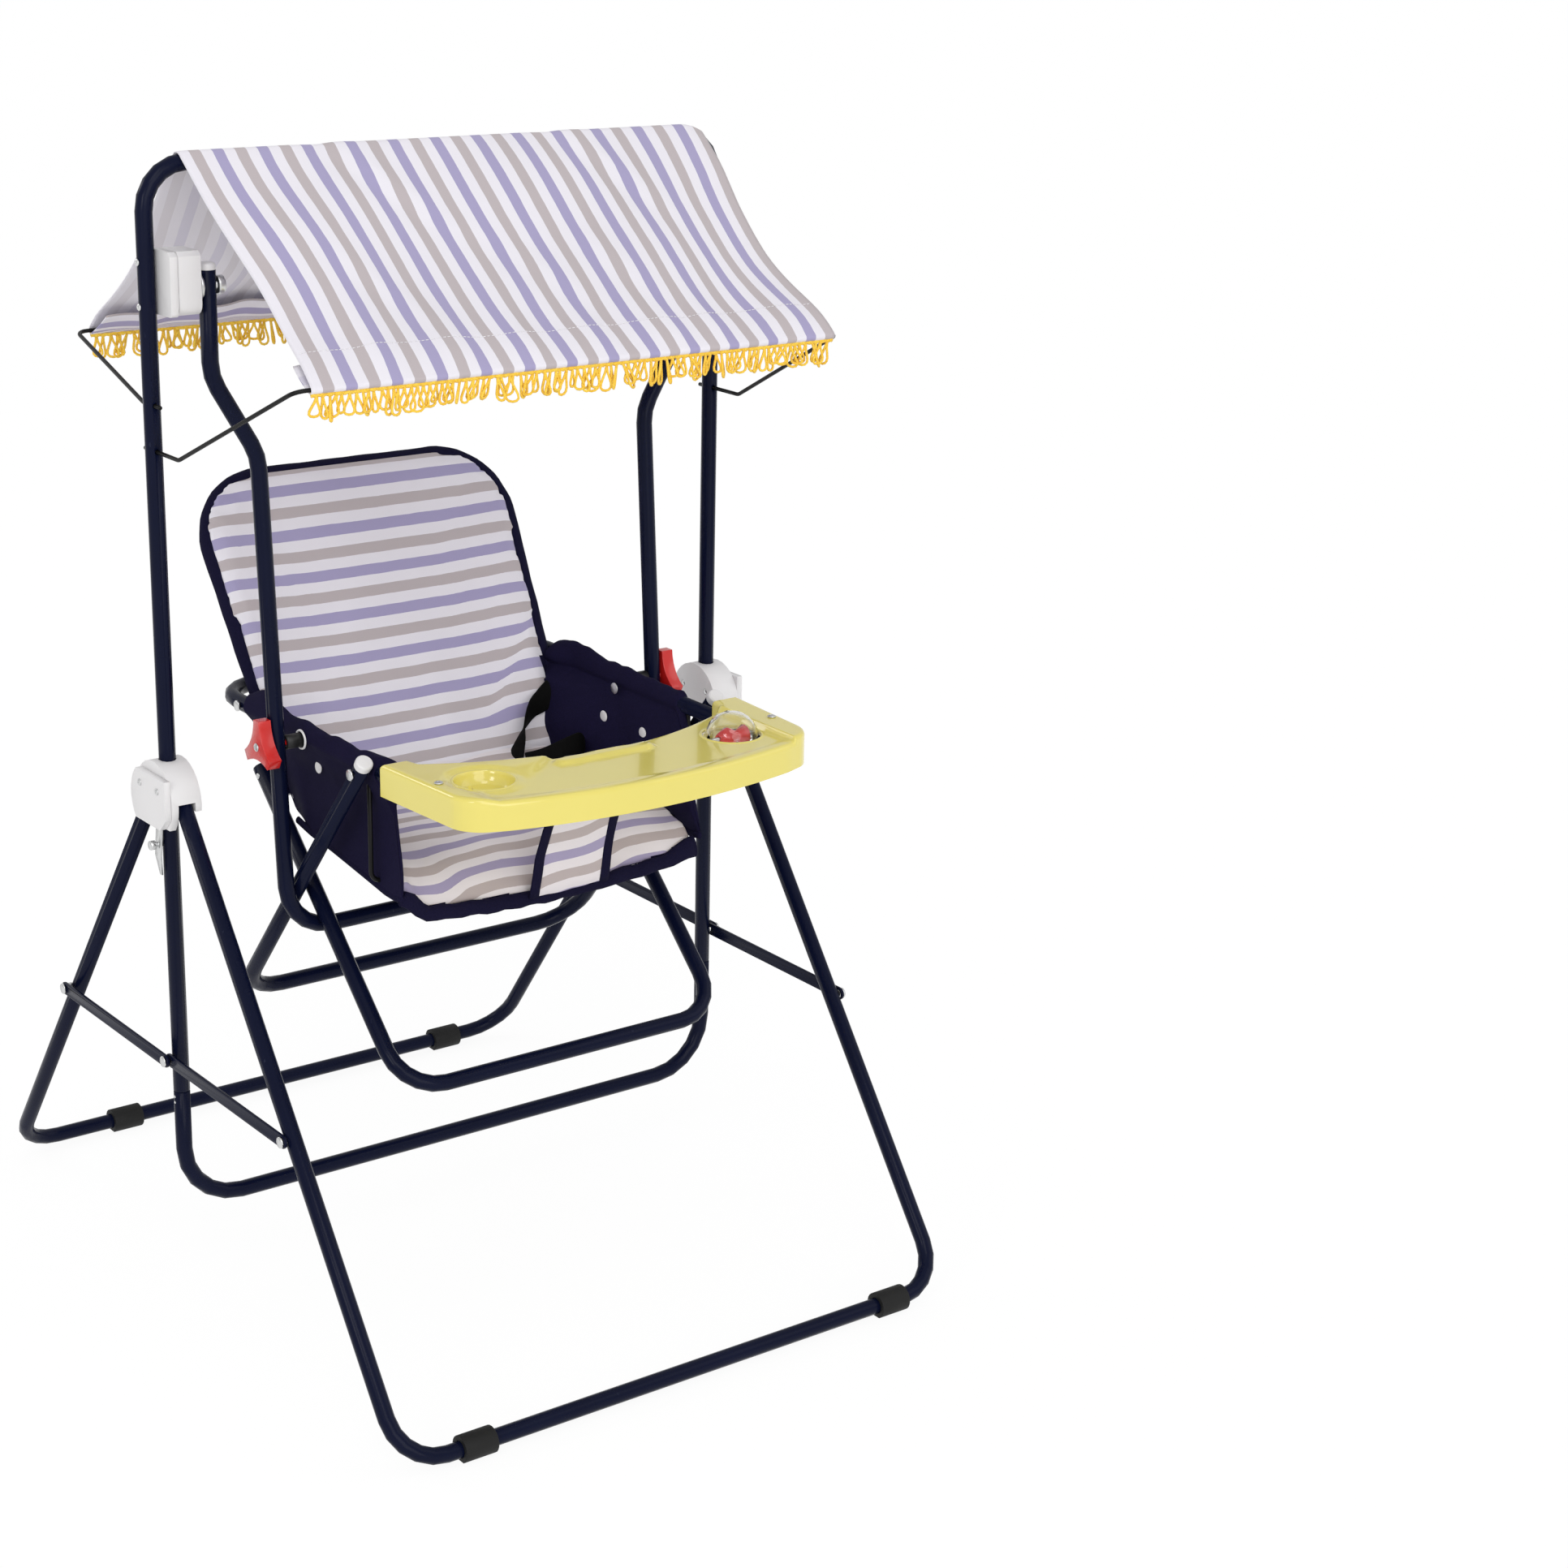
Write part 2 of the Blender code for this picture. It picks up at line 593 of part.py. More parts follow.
def build_latch(side, sign):
    """A sprung sheet lever on the outer side of an upright, hung under the hub, with a plunger across it."""
    x = sign * (SPAN + TUBE + 2 * TOUCH + LATCH_BARREL)
    z = HINGE_Z - HUB_DROP - TOUCH - LATCH_BARREL
    pivot = (x, 0, z)
    half = LATCH_HALF_WIDTH
    barrel = [(along, LATCH_BARREL) for along in (0, 2 * half)]
    lever = solid(f"latch_lever_{side}", *turned(barrel, (x, -half, z), (0, 1, 0)), "zinc_steel", pivot)
    waist = z - LATCH_LENGTH * 0.6
    thick = LATCH_THICK
    sheet = [
        (x - sign * thick / 2, z),
        (x + sign * thick / 2, z),
        (x + sign * thick * 2, waist),
        (x + sign * thick / 2, z - LATCH_LENGTH),
        (x - sign * thick / 2, z - LATCH_LENGTH),
        (x + sign * thick, waist),
    ]
    blade = cutter(f"latch_blade_{side}", *prism(sheet, "XZ", -half, half))
    tip_z = z - LATCH_LENGTH - thick
    point = [(-LATCH_POINT, tip_z), (LATCH_POINT, tip_z), (half, waist), (half, z + thick), (-half, z + thick), (-half, waist)]
    low, high = sorted((x - sign * 4 * thick, x + sign * 4 * thick))
    combine(blade, cutter(f"latch_point_{side}", *prism(point, "YZ", low, high)), "INTERSECT")
    combine(lever, blade, "UNION")
    tip = sign * (SPAN + TUBE + RUNNING)
    steps = [(0, PLUNGER), (PLUNGER_REACH * 0.6, PLUNGER), (PLUNGER_REACH * 0.6, 1.8 * PLUNGER), (PLUNGER_REACH, 1.8 * PLUNGER)]
    shape = turned(steps, (tip, 0, z - PLUNGER_DROP), (sign, 0, 0))
    combine(lever, cutter(f"latch_plunger_{side}", *shape), "UNION")


def build_link(end, way, side, sign, inner):
    """A flat link from an upright to a leg; it turns on the upright's rivet and carries the rivet at the leg."""
    pivot = (sign * inner, 0, LINK_Z)
    reach = leg_at(LINK_Z)
    half = LINK_WIDTH / 2
    outline = ellipse((way * reach, LINK_Z), half, half, -90, 90, 6) + ellipse((0, LINK_Z), half, half, 90, 270, 6)
    if way < 0:
        outline = ellipse((0, LINK_Z), half, half, -90, 90, 6) + ellipse((way * reach, LINK_Z), half, half, 90, 270, 6)
    low, high = sorted((sign * inner, sign * (inner + LINK_THICK)))
    link = solid(f"{end}_link_{side}", *prism(outline, "YZ", low, high), "navy_paint", pivot)
    for y in (0, way * reach):
        drill([link], (low - LINK_THICK, y, LINK_Z), (high + LINK_THICK, y, LINK_Z), PIN + TOUCH)
    leg_face = SPAN + TUBE + RUNNING
    steps = [
        (inner - leg_face - TOUCH, WASHER),
        (LINK_THICK + 2 * TOUCH, PIN),
        (HEAD_HEIGHT, RIVET_HEAD),
    ]
    start = (sign * leg_face, way * reach, LINK_Z)
    spool(f"{end}_link_rivet_{side}", start, (sign, 0, 0), steps, "zinc_steel", pivot)


def build_links():
    for side, sign in SIDES:
        build_link("front", -1, side, sign, FRONT_LINK_IN)
        build_link("rear", 1, side, sign, REAR_LINK_IN)
        start = SPAN + TUBE + TOUCH
        stack = REAR_LINK_IN + LINK_THICK + TOUCH - start
        steps = [(stack, PIN), (HEAD_HEIGHT, RIVET_HEAD)]
        spool(f"upright_rivet_{side}", (sign * start, 0, LINK_Z), (sign, 0, 0), steps, "zinc_steel")


# Canopy


def build_canopy_wires():
    tail = 2.2 * TUBE
    front = []
    rear = []
    for sign in (-1, 1):
        front.append((sign * SPAN, tail, FRONT_HOLE_Z))
        front.append((sign * SPAN, FRONT_ELBOW_Y, FRONT_HOLE_Z))
        front.append((sign * WIRE_CORNER_X, *FRONT_HEM))
        rear.append((sign * SPAN, -tail, REAR_HOLE_Z))
        rear.append((sign * SPAN, tail, REAR_HOLE_Z))
        rear.append((sign * WIRE_CORNER_X, *REAR_HEM))
    for name, half in (("front_canopy_wire", front), ("rear_canopy_wire", rear)):
        corners = half[:3] + half[:2:-1]
        tube(name, corners, WIRE_BEND, "black_wire", radius=WIRE, sides=8)


def canopy_line(offset):
    """Front hem, ridge and rear hem of the cloth in side view, this far outside the top tube and the hem wires."""
    ridge = TUBE + TOUCH + offset
    wire = WIRE + TOUCH + offset
    line = []
    slopes = []
    for way, hem in ((-1, FRONT_HEM), (1, REAR_HEM)):
        fall = Vector((hem[0], hem[1] - TOP_Z))
        tilt = math.asin((ridge - wire) / fall.length)
        slopes.append(math.degrees(math.atan2(fall.x * way, -fall.y) + tilt))
    front, rear = slopes
    for way, hem, slope in ((-1, FRONT_HEM, front), (1, REAR_HEM, rear)):
        lean = math.radians(slope)
        edge = (hem[0] + way * wire * math.cos(lean), hem[1] + wire * math.sin(lean))
        drop = (hem[0] + way * wire, hem[1] - FRINGE)
        line.append([drop, (drop[0], hem[1]), edge])
    crown = ellipse((0, TOP_Z), ridge, ridge, 180 - front, rear, 8)
    return line[0] + crown + line[1][::-1]


def build_canopy():
    outline = canopy_line(0) + canopy_line(CLOTH)[::-1]
    solid("canopy_cover", *prism(outline, "YZ", -CANOPY_HALF, CANOPY_HALF), "striped_cloth")


# Swing


def bracket_outline(nose):
    """Side view of a bracket, counter-clockwise from the round at its lower front."""
    front = BRACKET_BACK - BRACKET_DEPTH
    low = PIVOT_Z - BRACKET_DROP
    high = low + BRACKET_HEIGHT
    c = BRACKET_CORNER
    toe = ellipse((front + nose, low + nose), nose, nose, 180, 270, 5)
    heel = [(BRACKET_BACK - c, low), (BRACKET_BACK, low + c)]
    top = [(BRACKET_BACK, high - c), (BRACKET_BACK - c, high), (front + c, high), (front, high - c)]
    return toe + heel + top


def build_brackets():
    """A round-nosed block on a plate, with a groove between them."""
    block_root = BRACKET_IN - BRACKET_PLATE - BRACKET_GROOVE
    neck = inset(bracket_outline(BRACKET_NOSE), BRACKET_GROOVE)
    for side, sign in SIDES:
        levels = sorted((sign * BRACKET_FACE, sign * block_root))
        bracket = solid(f"swing_bracket_{side}", *prism(bracket_outline(BRACKET_NOSE), "YZ", *levels), "white_plastic")
        levels = sorted((sign * (block_root - BRACKET_GROOVE), sign * (BRACKET_IN - BRACKET_PLATE / 2)))
        combine(bracket, cutter(f"bracket_neck_{side}", *prism(neck, "YZ", *levels)), "UNION")
        levels = sorted((sign * (BRACKET_IN - BRACKET_PLATE), sign * BRACKET_IN))
        plate = prism(bracket_outline(BRACKET_CORNER), "YZ", *levels)
        combine(bracket, cutter(f"bracket_plate_{side}", *plate), "UNION")
        root = sign * (BRACKET_FACE + BRACKET_IN) / 2
        drill([bracket], (root, PIVOT_Y, PIVOT_Z), (0, PIVOT_Y, PIVOT_Z), BOLT + TOUCH)
        hanger_side = HANGER_TOP_X + TUBE + RUNNING
        tube_length = 2 * (TUBE + RUNNING)
        steps = [
            (abs(root) - BRACKET_FACE, BOLT),
            (TOUCH, BOLT),
            (BIG_WASHER_THICK, BIG_WASHER),
            (tube_length, BOLT),
            (NUT_LENGTH, NUT),
        ]
        start = sign * (hanger_side + sum(length for length, _ in steps[:3]) - TOUCH / 2)
        spool(f"pivot_bolt_{side}", (start, PIVOT_Y, PIVOT_Z), (-sign, 0, 0), steps, "zinc_steel")


def build_hanger():
    pivot = (0, PIVOT_Y, PIVOT_Z)
    half = [
        (HANGER_TOP_X, PIVOT_Y, PIVOT_Z + HANGER_TOP),
        (HANGER_TOP_X, PIVOT_Y, HANGER_JOG_TOP),
        (HANGER_X, PIVOT_Y, HANGER_JOG_LOW),
        (HANGER_X, *HANGER_BAR),
    ]
    corners = [(-x, y, z) for x, y, z in half] + half[::-1]
    bends = [HANGER_JOG_BEND, HANGER_JOG_BEND, HANGER_BEND, HANGER_BEND, HANGER_JOG_BEND, HANGER_JOG_BEND]
    hanger = tube("hanger", corners, bends, "navy_paint", pivot)
    for sign in (-1, 1):
        x = sign * HANGER_TOP_X
        drill([hanger], (x - 2 * TUBE, *pivot[1:]), (x + 2 * TUBE, *pivot[1:]), BOLT + RUNNING)
        x = sign * HANGER_X
        drill([hanger], (x - 2 * TUBE, KNOB_Y, KNOB_Z), (x + 2 * TUBE, KNOB_Y, KNOB_Z), PIN + RUNNING)


def wing_outline(centre):
    """A triangle with blunt tips and hollow sides."""
    found = []
    steps = 6
    wings = 3
    step = 2 * math.pi / wings
    for i in range(wings):
        here = math.pi / 2 + step * i
        aim = here + step / 2
        corners = []
        for angle, way in ((here, 1), (here + step, -1)):
            u = KNOB_REACH * math.cos(angle) - way * KNOB_TIP / 2 * math.sin(angle)
            v = KNOB_REACH * math.sin(angle) + way * KNOB_TIP / 2 * math.cos(angle)
            corners.append((u, v))
        middle = (KNOB_HOLLOW * math.cos(aim), KNOB_HOLLOW * math.sin(aim))
        for k in range(steps + 1):
            t = k / steps
            shares = ((1 - t) ** 2, 2 * t * (1 - t), t ** 2)
            parts = (corners[0], middle, corners[1])
            u = sum(share * part[0] for share, part in zip(shares, parts))
            v = sum(share * part[1] for share, part in zip(shares, parts))
            found.append((centre[0] + u, centre[1] + v))
    return found


def build_clamps():
    """Red wing knobs with moulded-in screws, and the spacers between hanger and arms."""
    hanger_out = HANGER_X + TUBE + TOUCH
    arm_out = ARM_X + TUBE + TOUCH
    hanger_in = HANGER_X - TUBE - TOUCH
    for side, sign in SIDES:
        pivot = (sign * hanger_out, KNOB_Y, KNOB_Z)
        low, high = sorted((sign * hanger_out, sign * (hanger_out + KNOB_THICK)))
        outline = wing_outline((KNOB_Y, KNOB_Z))
        knob = solid(f"clamp_knob_{side}", *prism(outline, "YZ", low, high), "red_plastic", pivot)
        reach = hanger_out + KNOB_THICK / 2 - ARM_X
        shape = turned([(0, PIN), (reach, PIN)], (sign * ARM_X, KNOB_Y, KNOB_Z), (sign, 0, 0))
        combine(knob, cutter(f"clamp_screw_{side}", *shape), "UNION")
        bore = PIN + RUNNING
        length = hanger_in - arm_out
        ring = [(0, bore), (0, SPACER), (length, SPACER), (length, bore)]
        start = (sign * arm_out, KNOB_Y, KNOB_Z)
        solid(f"clamp_spacer_{side}", *turned_ring(ring, start, (sign, 0, 0), PIN_SIDES), "black_plastic")


# Seat


def build_seat_frame():
    arm = tube(
        "arm_tube",
        [(-ARM_X, ARM_FRONT, ARM_Z), (-ARM_X, ARM_REAR, ARM_Z), (ARM_X, ARM_REAR, ARM_Z), (ARM_X, ARM_FRONT, ARM_Z)],
        ARM_BEND,
        "navy_paint",
    )
    low = (BACK_LOW_X, back_y(BACK_LOW_Z), BACK_LOW_Z)
    top = (BACK_TOP_X, back_y(BACK_TOP_Z), BACK_TOP_Z)
    back = tube(
        "back_tube",
        [(-low[0], *low[1:]), (-top[0], *top[1:]), top, low],
        BACK_BEND,
        "navy_paint",
    )
    joint_y = back_y(ARM_Z)
    for side, sign in SIDES:
        hole = PIN + TOUCH
        drill([arm], (sign * ARM_X, KNOB_Y, KNOB_Z), (sign * (ARM_X + 2 * TUBE), KNOB_Y, KNOB_Z), PIN + RUNNING)
        drill([arm], (sign * ARM_X, *LEG_B_HINGE), (sign * (ARM_X + 2 * TUBE), *LEG_B_HINGE), hole)
        both = (sign * (BACK_LOW_X - TUBE), joint_y, ARM_Z)
        drill([arm, back], both, (sign * (ARM_X + 2 * TUBE), joint_y, ARM_Z), hole)
        inside = ARM_X + TUBE + TOUCH - BACK_LOW_X
        steps = [(inside, PIN), (HEAD_HEIGHT, RIVET_HEAD)]
        spool(f"back_rivet_{side}", (sign * BACK_LOW_X, joint_y, ARM_Z), (sign, 0, 0), steps, "zinc_steel")
        drill([back], (sign * BACK_LOW_X, LEG_A_Y, LEG_A_Z), (sign * (ARM_X + TUBE), LEG_A_Y, LEG_A_Z), hole)
    under_arm = ARM_Z - TUBE - TOUCH
    tube(
        "seat_wire",
        [
            (-ARM_X, SEAT_WIRE_Y, under_arm),
            (-ARM_X, SEAT_WIRE_Y, SEAT_WIRE_Z),
            (ARM_X, SEAT_WIRE_Y, SEAT_WIRE_Z),
            (ARM_X, SEAT_WIRE_Y, under_arm),
        ],
        SEAT_WIRE_BEND,
        "black_wire",
        radius=SEAT_WIRE,
        sides=8,
    )


def build_seat_leg(name, x, hinge, bar, top, inner, head):
    """A U-shaped seat leg on two rivets that start at inner, in the tube that carries the leg.

    The rivets end in a head, or flush with the leg where another leg passes them.
    """
    pivot = (0, *hinge)
    down = Vector((0, bar[0] - hinge[0], bar[1] - hinge[1])).normalized()
    ends = [Vector((sign * x, *hinge)) - down * top for sign in (-1, 1)]
    corners = [ends[0], (-x, *bar), (x, *bar), ends[1]]
    leg = tube(name, corners, SEAT_LEG_BEND, "navy_paint", pivot)
    for side, sign in SIDES:
        drill([leg], (sign * (x - 2 * TUBE), *hinge), (sign * (x + 2 * TUBE), *hinge), PIN + RUNNING)
        steps = [(x + TUBE - inner, PIN)]
        if head:
            steps = [(x + TUBE + TOUCH - inner, PIN), (HEAD_HEIGHT, RIVET_HEAD)]
        spool(f"{name}_rivet_{side}", (sign * inner, *hinge), (sign, 0, 0), steps, "zinc_steel")


def build_back_pad():
    """The padded backrest as a slab on the front of the backrest tube, round at its top corners."""
    lean = math.atan(BACK_SLOPE)
    rise = 1 / math.cos(lean)
    forwards = Vector((0, -math.cos(lean), math.sin(lean)))
    low_z = BACK_LOW_Z + TOUCH
    height = (PAD_TOP_Z - low_z) * rise
    top_centre = PAD_TOP_HALF - PAD_CORNER
    corner = ellipse((top_centre, height - PAD_CORNER), PAD_CORNER, PAD_CORNER, 0, 90, 6)
    right = [(PAD_LOW_HALF, 0), *corner]
    outline = right + [(-x, s) for x, s in reversed(right)]
    points = []
    for off in (TUBE + TOUCH, TUBE + TOUCH + PAD_THICK):
        for x, s in outline:
            z = low_z + s / rise
            points.append(Vector((x, back_y(z), z)) + forwards * off)
    count = len(outline)
    faces = [tuple(reversed(range(count))), tuple(range(count, 2 * count))]
    for i in range(count):
        j = (i + 1) % count
        faces.append((i, j, j + count, i + count))
    solid("back_pad", points, faces, "striped_cloth")


def build_seat_pad():
    """The sling seat in side view: flat behind, falling to a lip in front of the seat wire."""
    wire_top = SEAT_WIRE_Z + SEAT_WIRE + TOUCH
    fall = SEAT_TOP_Z - SEAT_LIP_Z
    top = [
        (SEAT_REAR, SEAT_TOP_Z),
        *ellipse((SEAT_FRONT / 2, SEAT_LIP_Z), -SEAT_FRONT / 2, fall, 90, 180, 6),
    ]
    under = [
        (SEAT_FRONT + SEAT_THICK / 2, SEAT_LIP_Z - SEAT_THICK / 4),
        (SEAT_WIRE_Y - 2 * SEAT_WIRE, wire_top),
        (SEAT_WIRE_Y + 2 * SEAT_WIRE, wire_top),
        (SEAT_REAR, SEAT_TOP_Z - SEAT_THICK),
    ]
    half = PANEL_IN - TOUCH
    solid("seat_pad", *prism(top + under, "YZ", -half, half), "striped_cloth")


def build_side_panels():
    """Cloth sides between the arms and the seat, inside the arm tube."""
    wire_top = SEAT_WIRE_Z + SEAT_WIRE + TOUCH
    clear = (2 * TUBE + PAD_THICK) / math.cos(math.atan(BACK_SLOPE))
    top = ARM_Z + TUBE
    low = SEAT_TOP_Z - SEAT_THICK
    outline = [
        (PANEL_FRONT, top),
        (PANEL_FRONT, SEAT_LIP_Z),
        (PANEL_FRONT + SEAT_THICK / 2, SEAT_LIP_Z - SEAT_THICK / 4),
        (SEAT_WIRE_Y - 2 * SEAT_WIRE, wire_top),
        (SEAT_WIRE_Y + 2 * SEAT_WIRE, wire_top),
        (back_y(low) - clear, low),
        (back_y(top) - clear, top),
    ]
    for side, sign in SIDES:
        inner, outer = sorted((sign * PANEL_IN, sign * PANEL_OUT))
        solid(f"side_panel_{side}", *prism(outline, "YZ", inner, outer), "navy_cloth")


# Tray


def tray_outline():
    """Plan of the tray, counter-clockwise from above: a hollow rear edge and a round front."""
    steps = 12
    rear = []
    for i in range(steps + 1):
        x = TRAY_END_HALF * (1 - 2 * i / steps)
        bow = 1 - (x / TRAY_END_HALF) ** 2
        rear.append((x, TRAY_END + (TRAY_REAR - TRAY_END) * (0.25 + 0.75 * bow)))
    corner_x = TRAY_HALF - TRAY_TAPER - TRAY_CORNER
    left_corner = ellipse((-corner_x, TRAY_CORNER_Y), TRAY_CORNER, TRAY_CORNER, 180, 245, 4)
    meet = left_corner[-1]
    front = []
    for i in range(1, steps):
        x = meet[0] * (1 - 2 * i / steps)
        bow = 1 - (x / meet[0]) ** 2
        front.append((x, meet[1] + (TRAY_FRONT - meet[1]) * bow))
    right_corner = [(-x, y) for x, y in reversed(left_corner)]
    ends = [(TRAY_HALF, TRAY_END), (TRAY_END_HALF, TRAY_END)]
    back = [(-TRAY_END_HALF, TRAY_END), (-TRAY_HALF, TRAY_END)]
    return right_corner + ends + rear + back + left_corner + front


def build_tray():
    outline = tray_outline()
    floor = TRAY_TOP - TRAY_WALL
    low = TRAY_TOP - TRAY_SKIRT
    tray = solid("tray", *prism(outline, "XY", low, TRAY_TOP), "yellow_plastic")
    shell = prism(inset(outline, TRAY_WALL), "XY", low - TRAY_WALL, floor)
    combine(tray, cutter("tray_hollow", *shell), "DIFFERENCE")

    joint = TRAY_WALL / 2
    arm_top = ARM_Z + TUBE + TOUCH
    for side, sign in SIDES:
        notch = TUBE + SIDE_PLAY
        corner_a = (sign * ARM_X - notch, TRAY_END - 3 * TRAY_WALL, low - TRAY_WALL)
        corner_b = (sign * ARM_X + notch, TRAY_END + 3 * TRAY_WALL, arm_top + SIDE_PLAY)
        combine(tray, cutter(f"tray_arm_notch_{side}", *box(corner_a, corner_b)), "DIFFERENCE")
        boss = turned([(0, TRAY_BOSS), (floor + joint - arm_top, TRAY_BOSS)], (sign * ARM_X, TRAY_SCREW_Y, arm_top), (0, 0, 1))
        combine(tray, cutter(f"tray_boss_{side}", *boss), "UNION")

    cup_low = TRAY_TOP - CUP_DEPTH - TRAY_WALL
    cup = turned([(0, CUP + TRAY_WALL), (floor + joint - cup_low, CUP + TRAY_WALL)], (*CUP_AT, cup_low), (0, 0, 1), 24)
    combine(tray, cutter("tray_cup", *cup), "UNION")
    recess = turned([(0, CUP), (2 * CUP_DEPTH, CUP)], (*CUP_AT, TRAY_TOP - CUP_DEPTH), (0, 0, 1), 24)
    combine(tray, cutter("tray_cup_recess", *recess), "DIFFERENCE")

    hole = RATTLE + RATTLE_GAP
    axle_z = TRAY_TOP - AXLE_DROP
    for side, sign in SIDES:
        x = RATTLE_AT[0] + sign * (hole + LUG / 2)
        corner_a = (x - LUG / 2, RATTLE_AT[1] - 3 * AXLE, axle_z - 2 * AXLE)
        corner_b = (x + LUG / 2, RATTLE_AT[1] + 3 * AXLE, floor + joint)
        combine(tray, cutter(f"tray_lug_{side}", *box(corner_a, corner_b)), "UNION")
    opening = turned([(0, hole), (2 * TRAY_SKIRT, hole)], (*RATTLE_AT, TRAY_TOP - TRAY_SKIRT), (0, 0, 1), 24)
    combine(tray, cutter("tray_rattle_hole", *opening), "DIFFERENCE")
    reach = hole + LUG
    drill([tray], (RATTLE_AT[0] - 2 * reach, RATTLE_AT[1], axle_z), (RATTLE_AT[0] + reach + LUG, RATTLE_AT[1], axle_z), AXLE + TOUCH)

    rib_y = TRAY_REAR - 2 * TRAY_WALL - RIB_DEPTH
    rib = box((-RIB_HALF, rib_y, TRAY_TOP - joint), (RIB_HALF, rib_y + RIB_DEPTH, TRAY_TOP + RIB_HEIGHT))
    combine(tray, cutter("tray_rib", *rib), "UNION")


def build_rattle():
    centre = (*RATTLE_AT, TRAY_TOP - AXLE_DROP)
    reach = RATTLE + RATTLE_GAP + LUG
    start = (centre[0] - reach, *centre[1:])
    spool("rattle_axle", start, (1, 0, 0), [(2 * reach, AXLE)], "zinc_steel")
    bore = AXLE + RUNNING
    steps = 10
    inner = RATTLE - RATTLE_WALL
    ring = []
    for radius, order in ((RATTLE, 1), (inner, -1)):
        first = math.degrees(math.asin(bore / radius))
        arc = ellipse((0, 0), radius, radius, 180 - first, first, steps)
        ring.extend(arc[::order])
    solid("rattle_ball", *turned_ring(ring, centre, (1, 0, 0), 20), "clear_plastic", centre)
    length = 0.6 * RATTLE
    waist = 0.2 * RATTLE
    body = 0.4 * RATTLE
    shape = [(-length, bore), (-length, waist), (-length / 3, body), (length / 3, waist), (length, body), (length, bore)]
    solid("rattle_figure", *turned_ring(shape, centre, (1, 0, 0), 12), "red_plastic", centre)


def main():
    clear_scene()
    build_upright_loop()
    for end, way in (("front", -1), ("rear", 1)):
        build_leg_frame(end, way)
    for side, sign in SIDES:
        build_hub(side, sign)
        build_latch(side, sign)
    build_links()
    build_canopy_wires()
    build_canopy()
    build_brackets()
    build_hanger()
    build_clamps()
    build_seat_frame()
    build_seat_leg("seat_leg_a", LEG_A_X, (LEG_A_Y, LEG_A_Z), LEG_A_BAR, LEG_A_TOP, BACK_LOW_X, False)
    build_seat_leg("seat_leg_b", LEG_B_X, LEG_B_HINGE, LEG_B_BAR, LEG_B_TOP, ARM_X, True)
    build_back_pad()
    build_seat_pad()
    build_side_panels()
    build_tray()
    build_rattle()


main()
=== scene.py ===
"""Looks of the child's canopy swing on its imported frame: cloth, fringe, binding, straps, small
fittings, materials, light and camera. Metres, +Z up, the front is -Y.
"""

import random
from math import acos, atan, atan2, copysign, cos, exp, hypot, pi, radians, sin, sqrt, tan

import bmesh
import bpy
from mathutils import Matrix, Vector, noise


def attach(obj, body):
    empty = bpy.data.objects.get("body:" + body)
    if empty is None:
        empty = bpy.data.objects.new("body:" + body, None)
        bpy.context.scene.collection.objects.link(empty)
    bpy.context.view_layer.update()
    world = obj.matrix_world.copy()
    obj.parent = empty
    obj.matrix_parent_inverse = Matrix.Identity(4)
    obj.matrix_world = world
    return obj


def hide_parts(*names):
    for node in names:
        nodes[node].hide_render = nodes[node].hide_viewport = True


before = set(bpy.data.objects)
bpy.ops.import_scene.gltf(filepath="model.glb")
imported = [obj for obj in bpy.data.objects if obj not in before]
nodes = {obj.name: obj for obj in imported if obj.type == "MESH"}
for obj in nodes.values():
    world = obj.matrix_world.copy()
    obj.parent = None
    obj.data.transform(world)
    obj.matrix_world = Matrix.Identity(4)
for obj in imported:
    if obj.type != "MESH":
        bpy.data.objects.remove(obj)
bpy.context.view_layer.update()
chance = random.Random(7)

# Places taken from the solids
TUBE = 0.008
SPAN = 0.311
TOP_Z = 1.116
WIRE = 0.0021
ARCH_BEND = 0.042
FRONT_HEM = (-0.235, 0.949)
REAR_HEM = (0.199, 0.937)
BACK_SLOPE = 0.588
BACK_AT = (0.166, 0.700)
PAD_LOW_Z = 0.4925
PAD_TOP_Z = 0.783
PAD_LOW_HALF = 0.160
PAD_TOP_HALF = 0.184
PAD_CORNER = 0.072
BACK_LOW_X = 0.158
BACK_TOP_X = 0.1755
BACK_TOP_Z = 0.7725
BACK_BEND = 0.070
ARM_X = 0.181
ARM_Z = 0.575
KNOB_AT = (-0.0378, 0.574)
PIVOT_AT = (-0.019, 1.008)
HANGER_TOP_X = 0.261
LEG_A_X = 0.182
LEG_A_HINGE = (0.0555, 0.512)
LEG_A_BAR = (-0.208, 0.268)
LEG_B_X = 0.1985
LEG_B_HINGE = (-0.163, 0.575)
LEG_B_BAR = (0.088, 0.276)
TRAY_TOP = 0.594
TRAY_SCREW_Y = -0.283
TRAY_HALF = 0.200
TRAY_INNER = 0.1695  # half width between the end blocks
TRAY_END = -0.205
TRAY_REAR = -0.266
TRAY_FRONT = -0.371
TRAY_CORNER_Y = -0.3135
TRAY_CORNER = 0.034
CUP_AT = (-0.142, -0.290)
RATTLE_AT = (0.131, -0.292)

# The tray's own forms
TRAY_TAPER = 0.007  # how much narrower each side gets towards the front corner
TRAY_BASIN = 0.0034  # how far the tray's middle lies below its highest part
TRAY_ROLL = 0.0045
TRAY_SKIRT = 0.0295
TRAY_WALL = 0.0026
BAR_X = -0.006
BAR_HALF = 0.046
BAR_Y = -0.2800
CUP_DEEP = 0.0125

